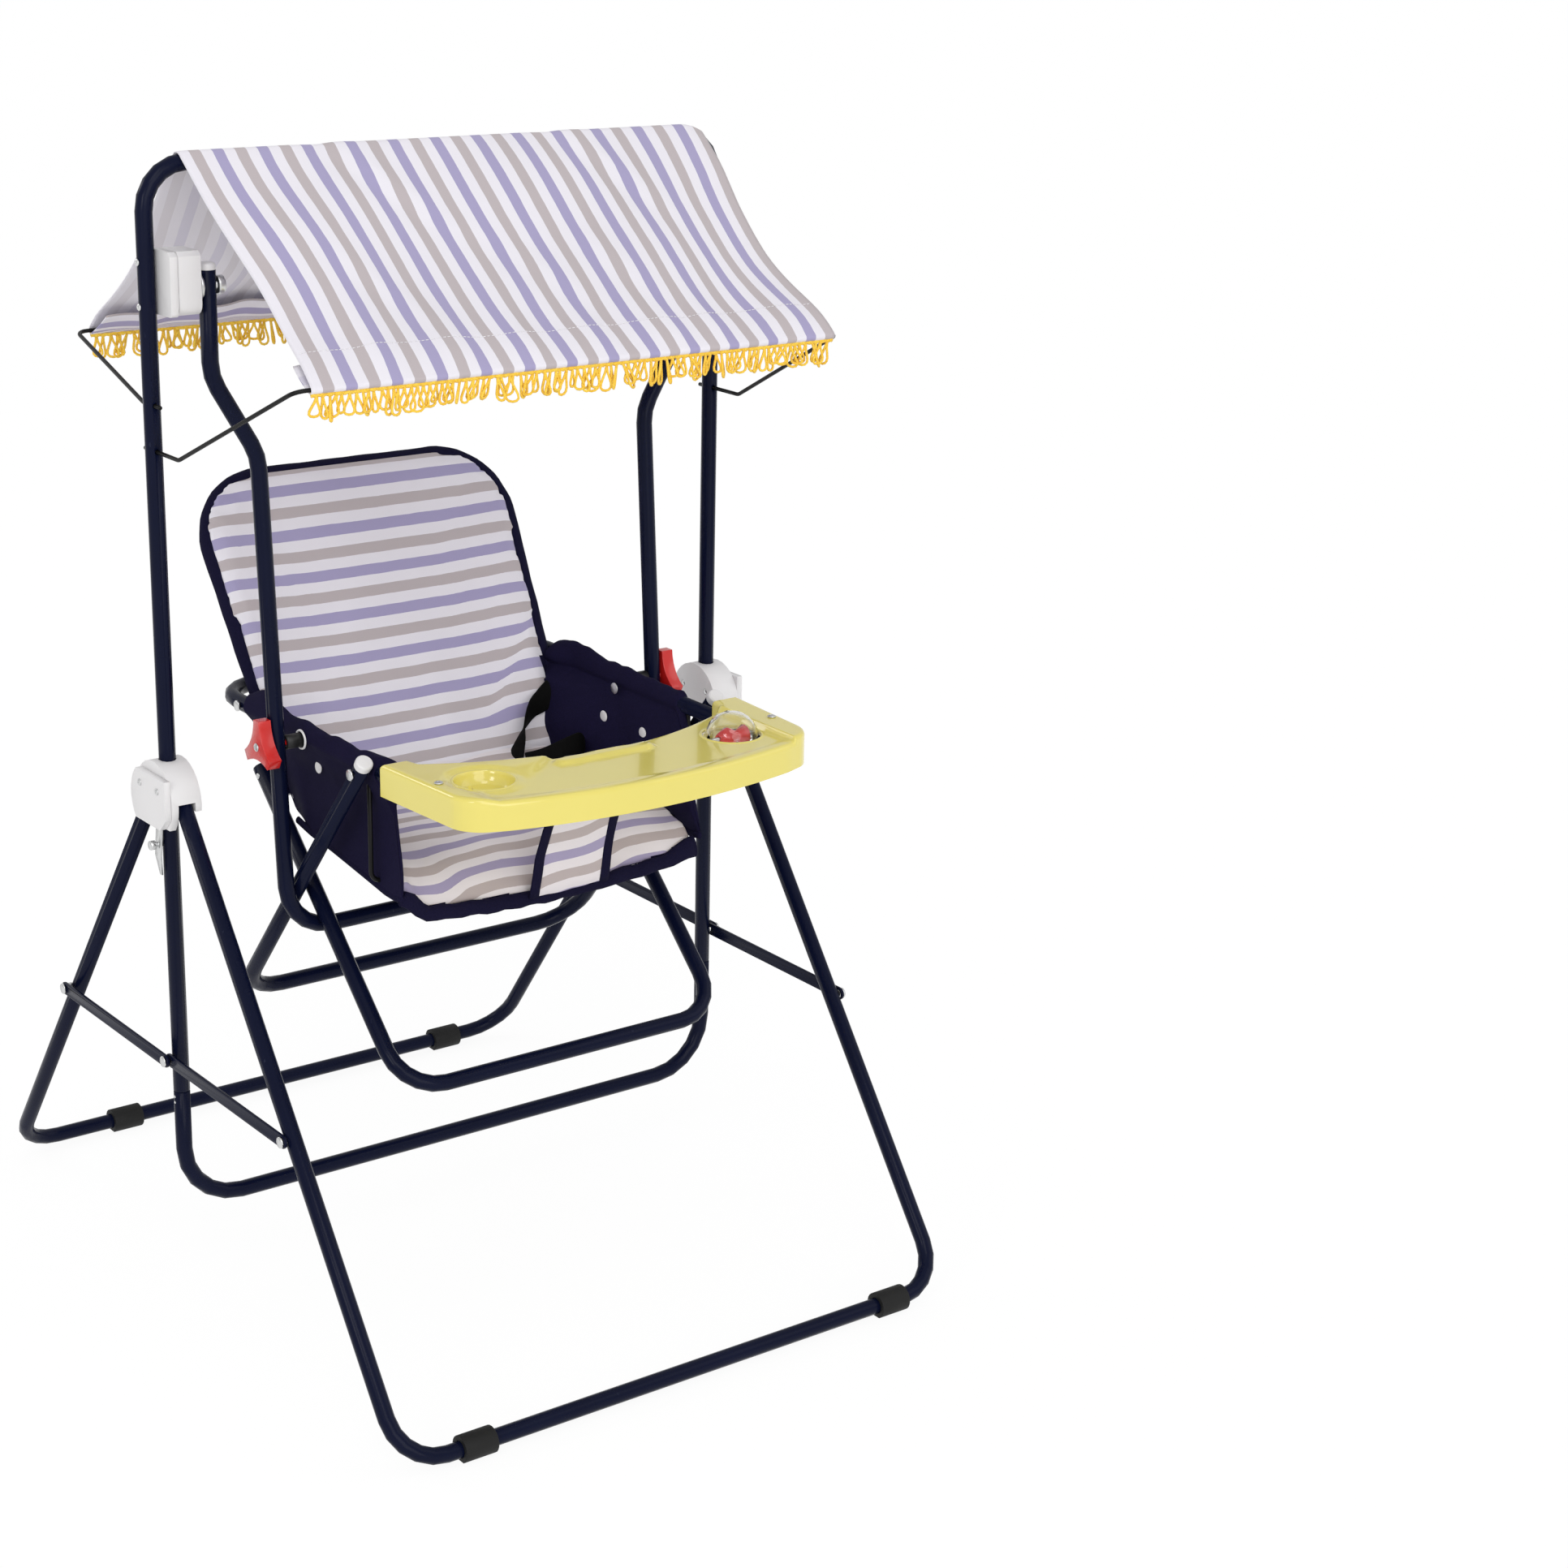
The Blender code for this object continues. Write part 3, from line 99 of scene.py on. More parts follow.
# Cloth
STRIPE = 0.0450  # white, lavender, white and taupe together
THREADS = 0.0011
CANOPY_HALF = 0.281
CANOPY_SHIFT = 0.004  # the cloth sits a little to the right on the arch
CANOPY_LIFT = 0.0012  # from a tube's or wire's face to the middle of the cloth
CANOPY_PRINT = 0.515  # where in the stripes the left edge begins
CANOPY_SAG = 0.0080
SEAM = 26 / 30  # the hem's seam, as a share of the way down a side
HEM_STRIP = 0.036
HEM_PUFF = 0.0016
HEM_SLACK = 0.0040
BROAD_WAVE = 0.0036
SMALL_WAVE = 0.0075
HEM_RIPPLE = 0.0016
CREASE_WIDTH = 0.019
RIDGE_STRETCH = 0.0092  # how far the ridge's right end is pulled out
PAD_TUCK = -0.012  # the cover runs on below the tube's ends into the crease
PAD_SLIDE = -0.0038  # the pad sits a little to the left on its tube
PAD_LAP = 0.0035  # how far the pad reaches over the tube's middle line
PAD_AHEAD = 0.0108
PAD_SAG = 0.0130
PAD_LOFT = 0.0032
SEAT_HALF = 0.1655
SEAT_SLIDE = -0.0048  # the sling hangs a little to the left
SEAT_LIP = (-0.1905, 0.4385)
SEAT_SPAN = 0.168  # half width over which the sling sags
PANEL_FRONT = -0.1945
PANEL_OUTER = 0.1726
PANEL_INNER = 0.1706
SLEEVE = 0.0087
TONGUE_OUT = (0, 0.87, 0.49)

SIDES = (("left", -1), ("right", 1))


# Materials


class Paint:
    """A material under construction, with short calls for its nodes."""

    def __init__(self, name):
        self.made = bpy.data.materials.new(name)
        self.made.use_nodes = True
        self.tree = self.made.node_tree
        self.shader = self.tree.nodes["Principled BSDF"]

    def put(self, socket, value):
        """Links a socket to another one, or sets its value."""
        if isinstance(value, bpy.types.NodeSocket):
            self.tree.links.new(value, socket)
        else:
            socket.default_value = value

    def node(self, kind, inputs=None, **settings):
        found = self.tree.nodes.new(kind)
        for key, value in settings.items():
            setattr(found, key, value)
        for key, value in (inputs or {}).items():
            self.put(found.inputs[key], value)
        return found

    def set(self, **values):
        for key, value in values.items():
            self.put(self.shader.inputs[key.replace("_", " ")], value)

    def speckle(self, scale, detail=3.0, stretch=None):
        """Noise on the object's own coordinates."""
        where = self.node("ShaderNodeTexCoord").outputs["Object"]
        if stretch:
            where = self.node("ShaderNodeMapping", {"Vector": where, "Scale": stretch}).outputs["Vector"]
        inputs = {"Vector": where, "Scale": scale, "Detail": detail}
        return self.node("ShaderNodeTexNoise", inputs).outputs["Fac"]

    def between(self, fac, low, high, start=0.0, end=1.0):
        """fac from start to end, turned into low to high."""
        inputs = {"Value": fac, "From Min": start, "From Max": end, "To Min": low, "To Max": high}
        return self.node("ShaderNodeMapRange", inputs).outputs["Result"]

    def mix(self, fac, first, second, blend="MIX"):
        inputs = {0: fac, 6: first, 7: second}
        return self.node("ShaderNodeMix", inputs, data_type="RGBA", blend_type=blend).outputs[2]

    def math(self, operation, first, second=0.0):
        return self.node("ShaderNodeMath", {0: first, 1: second}, operation=operation).outputs[0]

    def bump(self, height, strength, distance):
        inputs = {"Height": height, "Strength": strength, "Distance": distance}
        self.set(Normal=self.node("ShaderNodeBump", inputs).outputs["Normal"])

    def attribute(self, name):
        return self.node("ShaderNodeAttribute", attribute_name=name).outputs["Fac"]


def painted_steel():
    paint = Paint("navy_tube_paint")
    worn = paint.between(paint.speckle(210, 4, (1, 1, 0.25)), 0.0, 1.0, 0.70, 0.76)
    tone = paint.mix(paint.speckle(18), (0.0028, 0.0043, 0.0175, 1), (0.0043, 0.0066, 0.0255, 1))
    faded = paint.math("MULTIPLY", worn, 0.35)
    paint.set(Base_Color=paint.mix(faded, tone, (0.035, 0.042, 0.075, 1)))
    paint.set(Roughness=paint.between(paint.speckle(35), 0.20, 0.32))
    paint.set(Coat_Weight=0.02, Coat_Roughness=0.08, Specular_IOR_Level=0.09)
    paint.bump(paint.speckle(420, 2), 0.10, 0.0004)
    return paint.made


def finish(name, low, high, rough, grain, scales=(25, 60), **more):
    """Two mixed tones with uneven roughness. grain is the bump's scale, detail, strength and height."""
    paint = Paint(name)
    paint.set(Base_Color=paint.mix(paint.speckle(scales[0]), (*low, 1), (*high, 1)))
    paint.set(Roughness=paint.between(paint.speckle(scales[1]), *rough), **more)
    scale, detail, strength, height = grain
    paint.bump(paint.speckle(scale, detail), strength, height)
    return paint.made


def gloss_plastic(name, low, high, rough):
    more = {"Subsurface_Weight": 0.05, "Subsurface_Radius": (0.004, 0.003, 0.001)}
    more.update({"Coat_Weight": 0.40, "Coat_Roughness": 0.03})
    return finish(name, low, high, (rough, rough + 0.10), (60, 2, 0.03, 0.0006), (9, 60), **more)


def black_finish(name, tone, rough, grain, shine):
    low, high = ((tone * share,) * 3 for share in (0.7, 1.4))
    bump = (grain, 3, 0.20, 0.0004)
    return finish(name, low, high, (rough, rough + 0.15), bump, Specular_IOR_Level=shine)


def clear_plastic():
    paint = Paint("clear_plastic_shell")
    paint.set(Base_Color=(0.97, 0.97, 0.97, 1), Transmission_Weight=1.0, IOR=1.12)
    paint.set(Coat_Weight=0.6, Coat_Roughness=0.03, Coat_IOR=1.45)
    paint.set(Roughness=paint.between(paint.speckle(50), 0.01, 0.05))
    return paint.made


def weave(paint):
    """Height of a plain weave, from the cloth's own two directions."""
    turn = 2 * pi / THREADS
    across = paint.math("SINE", paint.math("MULTIPLY", paint.attribute("run"), turn))
    along = paint.math("SINE", paint.math("MULTIPLY", paint.attribute("warp"), turn))
    return paint.math("MULTIPLY", across, along)


def striped_cloth(name, strength, tint=(1.0, 1.0, 1.0)):
    """Stripes across the run of the cloth. A strength below 1 is the paler reverse, whose faint stripes are
    partly its own print and partly painted light shining through the cloth; tint is a painted warm cast of
    bounce light.
    """
    paint = Paint(name)
    wobble = paint.between(paint.speckle(45), -0.0006, 0.0006)
    share = paint.math("DIVIDE", paint.math("ADD", paint.attribute("run"), wobble), STRIPE)
    ramp = paint.node("ShaderNodeValToRGB", {"Fac": paint.math("FRACT", share)})
    ramp.color_ramp.interpolation = "CONSTANT"
    white = (0.79, 0.766, 0.825, 1)
    lavender = (0.366, 0.333, 0.530, 1)
    taupe = (0.485, 0.431, 0.445, 1)
    for index, colour in enumerate((white, lavender, white, taupe)):
        at = index / 4
        stop = ramp.color_ramp.elements[index] if index < 2 else ramp.color_ramp.elements.new(at)
        stop.position = at
        stop.color = colour
    cloth = paint.mix(strength, white, ramp.outputs["Color"])
    uneven = paint.between(paint.speckle(6, 4), 0.93, 1.03)
    threads = paint.between(weave(paint), 0.95, 1.03, -1.0, 1.0)
    shade = paint.math("MULTIPLY", uneven, threads)
    # tint paints a warm cast of bounce light into the cloth's colour
    tone = paint.mix(1.0, shade, (*tint, 1), "MULTIPLY")
    paint.set(Base_Color=paint.mix(1.0, cloth, tone, "MULTIPLY"))
    paint.set(Roughness=paint.between(paint.speckle(30), 0.82, 0.95))
    paint.set(Sheen_Weight=0.15, Sheen_Roughness=0.5)
    paint.bump(weave(paint), 0.18, 0.0004)
    return paint.made


def plain_cloth(name, low, high, sheen, patches=12):
    paint = Paint(name)
    threads = paint.between(paint.speckle(900, 2), 0.0, 1.0, 0.35, 0.65)
    broad = paint.mix(paint.speckle(patches, 4), (*low, 1), (*high, 1))
    lit = (*[c * 1.9 for c in high], 1)
    paint.set(Base_Color=paint.mix(paint.math("MULTIPLY", threads, 0.25), broad, lit))
    paint.set(Roughness=paint.between(paint.speckle(40), 0.78, 0.95), Specular_IOR_Level=0.08)
    paint.set(Sheen_Weight=sheen, Sheen_Roughness=0.45)
    paint.bump(paint.speckle(900, 2), 0.25, 0.0004)
    return paint.made


NAVY_PAINT = painted_steel()
WHITE = finish(
    "white_moulded_plastic", (0.69, 0.68, 0.685), (0.75, 0.74, 0.745), (0.32, 0.46),
    (700, 2, 0.10, 0.0003), (14, 90), Subsurface_Weight=0.06, Subsurface_Radius=(0.004, 0.004, 0.004),
)
YELLOW = gloss_plastic("yellow_moulded_plastic", (0.73, 0.63, 0.135), (0.77, 0.67, 0.160), 0.10)
RED = gloss_plastic("red_moulded_plastic", (0.53, 0.009, 0.008), (0.61, 0.014, 0.011), 0.20)
CLEAR = clear_plastic()
ZINC = finish(
    "zinc_plate", (0.56, 0.57, 0.58), (0.74, 0.74, 0.73), (0.22, 0.42),
    (900, 2, 0.12, 0.0002), (300, 160), Metallic=1.0,
)
RUBBER = black_finish("black_rubber_sleeve", 0.009, 0.55, 500, 0.25)
BLACK_PLASTIC = black_finish("black_plastic_sleeve", 0.012, 0.35, 300, 0.4)
BLACK_WIRE = black_finish("black_coated_wire", 0.005, 0.28, 600, 0.18)
WEBBING = black_finish("black_webbing", 0.0035, 0.75, 1100, 0.08)
STRIPES = striped_cloth("striped_cotton", 1.0)
# The underside's faint stripes are partly the reverse's own print and partly painted light shining through
# the cloth
STRIPES_REVERSE = striped_cloth("striped_cotton_reverse_and_through_light", 0.28)
# Seat and tongue cloth: its tint is painted warm bounce light
STRIPES_WARM = striped_cloth("striped_cotton_painted_warm_light", 1.0, (1.02, 0.985, 0.945))
NAVY_CLOTH = plain_cloth("navy_cotton", (0.0060, 0.0048, 0.0200), (0.0088, 0.0070, 0.0290), 0.0)
BINDING = plain_cloth("navy_binding_tape", (0.0050, 0.0045, 0.0180), (0.0078, 0.0066, 0.0260), 0.0)
THREAD = plain_cloth("white_thread", (0.70, 0.69, 0.71), (0.78, 0.77, 0.79), 0.1)
YARN = plain_cloth("golden_yarn", (0.74, 0.34, 0.013), (0.84, 0.63, 0.095), 0.20, 150)


# Shapes


def piece(name, points, faces, material, body, slot=None):
    """A smooth mesh piece in the row frame that rides on a body, with the given material. slot is not used.
    """
    mesh = bpy.data.meshes.new(name)
    mesh.from_pydata([tuple(p) for p in points], [], faces)
    mesh.materials.append(material)
    mesh.shade_smooth()
    obj = bpy.data.objects.new(name, mesh)
    bpy.context.scene.collection.objects.link(obj)
    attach(obj, body)
    return obj


def grid_faces(rows, columns, wrap=False):
    faces = []
    for i in range(rows - 1):
        for k in range(columns if wrap else columns - 1):
            a = i * columns + k
            b = i * columns + (k + 1) % columns
            faces.append((a, b, b + columns, a + columns))
    return faces


def grid_rim(rows, columns):
    """The points round the edge of a grid, in order."""
    rim = list(range(columns)) + [i * columns + columns - 1 for i in range(1, rows)]
    rim += [(rows - 1) * columns + k for k in range(columns - 2, -1, -1)]
    return rim + [i * columns for i in range(rows - 2, 0, -1)]


def tube_faces(rings, sides, closed=False):
    """Faces of rings in a row, with the ends capped or joined to each other."""
    faces = grid_faces(rings, sides, wrap=True)
    last = (rings - 1) * sides
    if closed:
        faces += [(last + k, last + (k + 1) % sides, (k + 1) % sides, k) for k in range(sides)]
    else:
        faces.append(tuple(reversed(range(sides))))
        faces.append(tuple(range(last, last + sides)))
    return faces


def joined(parts):
    """Points and faces of several parts as one."""
    points = []
    faces = []
    for part_points, part_faces in parts:
        base = len(points)
        points.extend(part_points)
        faces.extend(tuple(base + i for i in face) for face in part_faces)
    return points, faces


def shell(front, back, rows, columns):
    """A closed form between two grids that meet at their edges."""
    size = rows * columns
    faces = grid_faces(rows, columns)
    faces += [tuple(i + size for i in reversed(face)) for face in grid_faces(rows, columns)]
    rim = grid_rim(rows, columns)
    for a, b in zip(rim, rim[1:] + rim[:1]):
        faces.append((b, a, a + size, b + size))
    return front + back, faces


def sweep(path, section, up=(1, 0, 0), closed=False):
    """A section of (across, upwards) offsets carried along a path, capped unless closed."""
    path = [Vector(p) for p in path]
    count = len(path)
    tangents = []
    for i in range(count):
        before = path[i - 1] if closed or i else path[i]
        after = path[(i + 1) % count] if closed or i + 1 < count else path[i]
        tangents.append((after - before).normalized())
    normal = Vector(up)
    points = []
    for i, at in enumerate(path):
        if i:
            normal = tangents[i - 1].rotation_difference(tangents[i]) @ normal
        normal = (normal - tangents[i] * normal.dot(tangents[i])).normalized()
        across = tangents[i].cross(normal)
        offsets = section(i / (count - 1)) if callable(section) else section
        for a, b in offsets:
            points.append(at + across * a + normal * b)
    return points, tube_faces(count, len(points) // count, closed)


def round_section(half_a, half_b, sides):
    turn = 2 * pi / sides
    return [(half_a * cos(turn * k), half_b * sin(turn * k)) for k in range(sides)]


def flat_section(width, thick):
    """A webbing's cross-section with rounded edges."""
    w, t = width / 2, thick / 2
    lower = [(-w, -t * 0.5), (-w + t, -t), (w - t, -t), (w, -t * 0.5)]
    return lower + [(-a, -b) for a, b in lower]


def smooth_path(points, steps):
    """Points along a soft curve through the given ones."""
    points = [Vector(p) for p in points]
    found = []
    for i in range(len(points) - 1):
        p0 = points[max(i - 1, 0)]
        p1, p2 = points[i], points[i + 1]
        p3 = points[min(i + 2, len(points) - 1)]
        for k in range(steps):
            t = k / steps
            a = 2 * p1 + (p2 - p0) * t
            b = (2 * p0 - 5 * p1 + 4 * p2 - p3) * t * t
            c = (3 * p1 - p0 - 3 * p2 + p3) * t ** 3
            found.append((a + b + c) / 2)
    found.append(points[-1])
    return found


def spokes(axis, sides):
    """Unit directions round an axis."""
    first = Vector((0, 0, 1)) if abs(axis.z) < 0.9 else Vector((1, 0, 0))
    normal = axis.cross(first).normalized()
    across = axis.cross(normal)
    angles = [2 * pi * k / sides for k in range(sides)]
    return [normal * cos(angle) + across * sin(angle) for angle in angles]


def turned(name, profile, at, axis, material, body, slot=None, sides=24):
    """A fitting turned about an axis from (along, radius) steps, closed at both ends."""
    at = Vector(at)
    axis = Vector(axis).normalized()
    points = []
    for along, radius in profile:
        points.extend(at + axis * along + spoke * radius for spoke in spokes(axis, sides))
    obj = piece(name, points, tube_faces(len(profile), sides), material, body, slot)
    soften(obj, 0.0003)
    return obj


def ring(name, profile, at, axis, material, body, slot=None, sides=28):
    """A ring turned about an axis from a closed profile of (along, radius) steps."""
    at = Vector(at)
    axis = Vector(axis).normalized()
    points = []
    for spoke in spokes(axis, sides):
        points.extend(at + axis * along + spoke * radius for along, radius in profile)
    faces = tube_faces(sides, len(profile), closed=True)
    face_out(piece(name, points, faces, material, body, slot))


def face_out(obj):
    """Turns every face of a closed mesh outwards."""
    shape = bmesh.new()
    shape.from_mesh(obj.data)
    bmesh.ops.recalc_face_normals(shape, faces=shape.faces)
    shape.to_mesh(obj.data)
    shape.free()


def soften(obj, width, segments=2):
    """Small rounded edges with even shading."""
    weld = obj.modifiers.new("weld", "WELD")
    weld.merge_threshold = 0.00002
    bevel = obj.modifiers.new("soft_edges", "BEVEL")
    bevel.width = width
    bevel.segments = segments
    bevel.limit_method = "ANGLE"
    bevel.angle_limit = radians(35)
    bevel.harden_normals = True


def refine(obj):
    """One level of subdivision."""
    finer = obj.modifiers.new("finer", "SUBSURF")
    finer.levels = finer.render_levels = 1


def repaint(obj, *materials):
    obj.data.materials.clear()
    for material in materials:
        obj.data.materials.append(material)


def mark(obj, places):
    """Stores the cloth's two directions on each point, as (run, warp) in metres."""
    for index, name in enumerate(("run", "warp")):
        layer = obj.data.attributes.new(name, "FLOAT", "POINT")
        layer.data.foreach_set("value", [place[index] for place in places])


def mark_print(obj, rule):
    """Stores the run that the rule gives for each point, and its place across as the warp."""
    mark(obj, [(rule(vertex.co), vertex.co.x) for vertex in obj.data.vertices])


def ease(low, high, value):
    share = min(1.0, max(0.0, (value - low) / (high - low)))
    return share * share * (3 - 2 * share)


def wrinkle(a, b, c):
    """Smooth noise between about -1 and 1."""
    return noise.noise(Vector((a, b, c)))


# Carried-over solids


def dress_solids():
    """Materials and soft edges on the solids whose shape is right."""
    finishes = {
        NAVY_PAINT: (
            "upper_arch lower_bow front_leg_frame rear_leg_frame front_link rear_link hanger arm_tube "
            "back_tube seat_leg_a seat_leg_b"
        ),
        WHITE: "hub hub_cover swing_bracket",
        RUBBER: "front_foot rear_foot",
        BLACK_PLASTIC: "clamp_spacer",
        BLACK_WIRE: "front_canopy_wire rear_canopy_wire seat_wire",
        RED: "clamp_knob rattle_figure",
        CLEAR: "rattle_ball",
    }
    by_stem = {stem: material for material, stems in finishes.items() for stem in stems.split()}
    edges = {"hub": 0.0028, "hub_cover": 0.0016, "swing_bracket": 0.0030, "clamp_knob": 0.0022}
    edges.update({"front_foot": 0.0015, "rear_foot": 0.0015, "front_link": 0.0006, "rear_link": 0.0006})
    for name, obj in nodes.items():
        stem = name.removesuffix("_left").removesuffix("_right")
        repaint(obj, by_stem.get(stem, ZINC))
        obj.data.shade_smooth()
        soften(obj, edges.get(stem, 0.0004), 3 if stem in edges else 1)


# Canopy


def canopy_path():
    """Side view of the cloth: inner rear hem, round the rear wire, over the top tube, round the
    front wire, inner front hem.

    Each point is (y, z, share, facing): share runs from 0 at the ridge to 1 at a hem, and facing
    is the distance up the strip sewn inside the hem, or None.
    """
    ridge = TUBE + CANOPY_LIFT
    wire = WIRE + CANOPY_LIFT
    top = Vector((0, TOP_Z))
    steps, curl_steps, strip_steps, crown_steps = 30, 6, 5, 8
    halves = []
    for way, hem in ((1, REAR_HEM), (-1, FRONT_HEM)):
        centre = Vector(hem)
        fall = centre - top
        aim = atan2(fall.y, fall.x) + way * acos((wire - ridge) / fall.length)
        out = Vector((cos(aim), sin(aim)))
        start = top + out * ridge
        end = centre + out * wire
        line = []
        for i in range(steps + 1):
            share = i / steps
            if share < SEAM:
                slack = -CANOPY_SAG * sin(pi * (share / SEAM) ** 1.5)
            else:
                slack = HEM_PUFF * sin(pi * (share - SEAM) / (1 - SEAM))
            at = start.lerp(end, share) + out * slack
            line.append((at.x, at.y, share, None))
        angle = atan2(out.y, out.x)
        for i in range(1, curl_steps + 1):
            turn = angle - way * pi * i / curl_steps
            line.append((centre.x + wire * cos(turn), centre.y + wire * sin(turn), 1.0, None))
        up = (start - end).normalized()
        for i in range(1, strip_steps + 1):
            at = centre - out * wire + up * HEM_STRIP * i / strip_steps
            at -= out * HEM_SLACK * sin(pi * i / 10)
            rise = HEM_STRIP * i / strip_steps
            line.append((at.x, at.y, 1 - rise / fall.length, rise))
        halves.append((angle, line))
    (rear_angle, rear), (front_angle, front) = halves
    crown = []
    for i in range(1, crown_steps):
        angle = rear_angle + (front_angle - rear_angle) * i / crown_steps
        crown.append((ridge * cos(angle), TOP_Z + ridge * sin(angle), 0.0, None))
    return rear[::-1] + crown + front


# Diagonal folds on a side of the canopy: across and share at the upper and lower end, then the depth
CREASES = (
    (-0.140, -0.05, -0.050, 0.42, 0.0060),
    (0.110, -0.05, 0.200, 0.45, 0.0055),
    (-0.040, 0.35, 0.060, 0.85, 0.0036),
    (0.060, 0.40, 0.130, 0.84, 0.0036),
    (-0.200, 0.40, -0.130, 0.85, 0.0040),
)


def crease_depth(x, share):
    """Height of the diagonal folds: each has a flank that rises and one that falls."""
    total = 0.0
    for x0, share0, x1, share1, depth in CREASES:
        along = (share - share0) / (share1 - share0)
        if 0 < along < 1:
            side = (x - x0 - (x1 - x0) * along) / CREASE_WIDTH
            total += depth * side * exp(-side * side) * sin(pi * along)
    return total


def canopy_point(x, y, z, share):
    """The cloth's own place, with its slack and folds, for a point of the plain tent form."""
    way = 1 if y > 0 else -1
    swell = sin(pi * share) ** 0.8 if 0 < share < 1 else 0.0
    broad = sin(x * 17 + share * 3.4 * way + 0.6) * BROAD_WAVE
    small = wrinkle(x * 7, share * 2.4, way * 3.0) * SMALL_WAVE
    ripple = sin(x * 88 + 2.4 * wrinkle(x * 14, 0, way)) * HEM_RIPPLE
    out = (broad + small) * swell + crease_depth(x, share)
    out += ripple * ease(0.60, SEAM, share) * (1 - 0.6 * ease(0.92, 1.0, share)) * (1 if share < 1 else 0)
    pull = 1 - 0.010 * swell
    shear = 0.0045 * sin(share * 4.4 + x * 5) * swell
    stretch = RIDGE_STRETCH * ease(0.15, CANOPY_HALF, x) * (1 - ease(0.0, 0.40, share))
    across = x * pull + shear + stretch + CANOPY_SHIFT
    outer = ARCH_BEND + TUBE + CANOPY_LIFT
    past = min(outer, max(0.0, abs(across) - SPAN + ARCH_BEND))
    droop = (outer - sqrt(outer ** 2 - past ** 2)) * (1 - ease(0.0, 0.3, share))
    return (across, y + way * out * 0.58, z + out * 0.81 - droop)


def build_canopy():
    path = canopy_path()
    columns = 141
    points = []
    places = []
    length = 0.0
    before = None
    for y, z, share, facing in path:
        if before:
            length += hypot(y - before[0], z - before[1])
        before = (y, z)
        for k in range(columns):
            x = CANOPY_HALF * (2 * k / (columns - 1) - 1)
            points.append(canopy_point(x, y, z, share))
            run = x + CANOPY_HALF + CANOPY_PRINT * STRIPE if facing is None else facing
            places.append((run, length))
    faces = [tuple(reversed(face)) for face in grid_faces(len(path), columns)]
    canopy = piece("canopy_cloth", points, faces, STRIPES, "stand", "striped_cloth")
    canopy.data.materials.append(STRIPES_REVERSE)
    mark(canopy, places)
    thick = canopy.modifiers.new("cloth", "SOLIDIFY")
    thick.thickness = 0.0010
    thick.offset = 0.0
    thick.material_offset = 1
    thick.material_offset_rim = 0
    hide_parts("canopy_cover")

    for end, (y, z), way in (("front", FRONT_HEM, -1), ("rear", REAR_HEM, 1)):
        build_fringe(end, y, z - WIRE - 0.0022, way)
        build_stitching(end, path, way)


def build_fringe(end, y, z, way):
    """Looped yarn on a narrow braid along a hem."""
    knots = 220
    loops = 90
    bends = 12
    yarn = round_section(0.00125, 0.00125, 6)
    braid = []
    for i in range(knots + 1):
        x = CANOPY_HALF * (2 * i / knots - 1) * 0.998 + CANOPY_SHIFT
        braid.append((x, y + way * 0.0008 * sin(i * 1.9), z + 0.0006 * sin(i * 2.3)))
    parts = [sweep(braid, round_section(0.0015, 0.0026, 8), (0, 0, 1))]
    for i in range(loops):
        x = CANOPY_HALF * (2 * (i + 0.5) / loops - 1) * 0.985 + CANOPY_SHIFT
        x += chance.uniform(-0.0015, 0.0015)
        drop = chance.uniform(0.0165, 0.0240)
        half = chance.uniform(0.0036, 0.0072)
        lean = chance.gauss(0, 0.38)
        forward = chance.gauss(0, 0.16)
        twist = chance.uniform(-0.9, 0.9)
        path = []
        for k in range(bends + 1):
            t = k / bends
            wide = half * sin(2 * pi * t) * sin(pi * t) ** 0.7
            low = -drop * sin(pi * t) ** 0.9
            side = wide * cos(twist) - low * 0.25 * sin(lean)
            ahead = wide * sin(twist) + low * sin(forward) * 0.6
            path.append((x + side + low * sin(lean) * 0.8, y + ahead, z - 0.001 + low))
        parts.append(sweep(path, yarn, (0, 1, 0)))
    return piece(f"{end}_fringe", *joined(parts), YARN, "stand", "striped_cloth")


def build_stitching(end, path, way):
    """A row of stitches where the hem is sewn."""
    side = [p[:3] for p in path if p[3] is None and p[0] * way > 0.01]
    seam = min(side, key=lambda p: abs(p[2] - SEAM))
    thread = round_section(0.00040, 0.00040, 5)
    count = 128
    reach = 0.0014
    parts = []
    for i in range(count):
        middle = CANOPY_HALF * (2 * (i + 0.5) / count - 1) * 0.99
        ends = []
        for x in (middle - reach, middle + reach):
            x, y, z = canopy_point(x, *seam)
            ends.append((x, y + way * 0.0005, z + 0.0007))
        parts.append(sweep(ends, thread, (0, 0, 1)))
    return piece(f"{end}_hem_stitches", *joined(parts), THREAD, "stand", "striped_cloth")


# Padded cloth


def apply_all(obj):
    """Turns the object's modifiers into its mesh."""
    graph = bpy.context.evaluated_depsgraph_get()
    graph.update()
    made = bpy.data.meshes.new_from_object(obj.evaluated_get(graph))
    obj.modifiers.clear()
    old = obj.data
    for material in old.materials:
        if material.name not in made.materials:
            made.materials.append(material)
    obj.data = made
    bpy.data.meshes.remove(old)


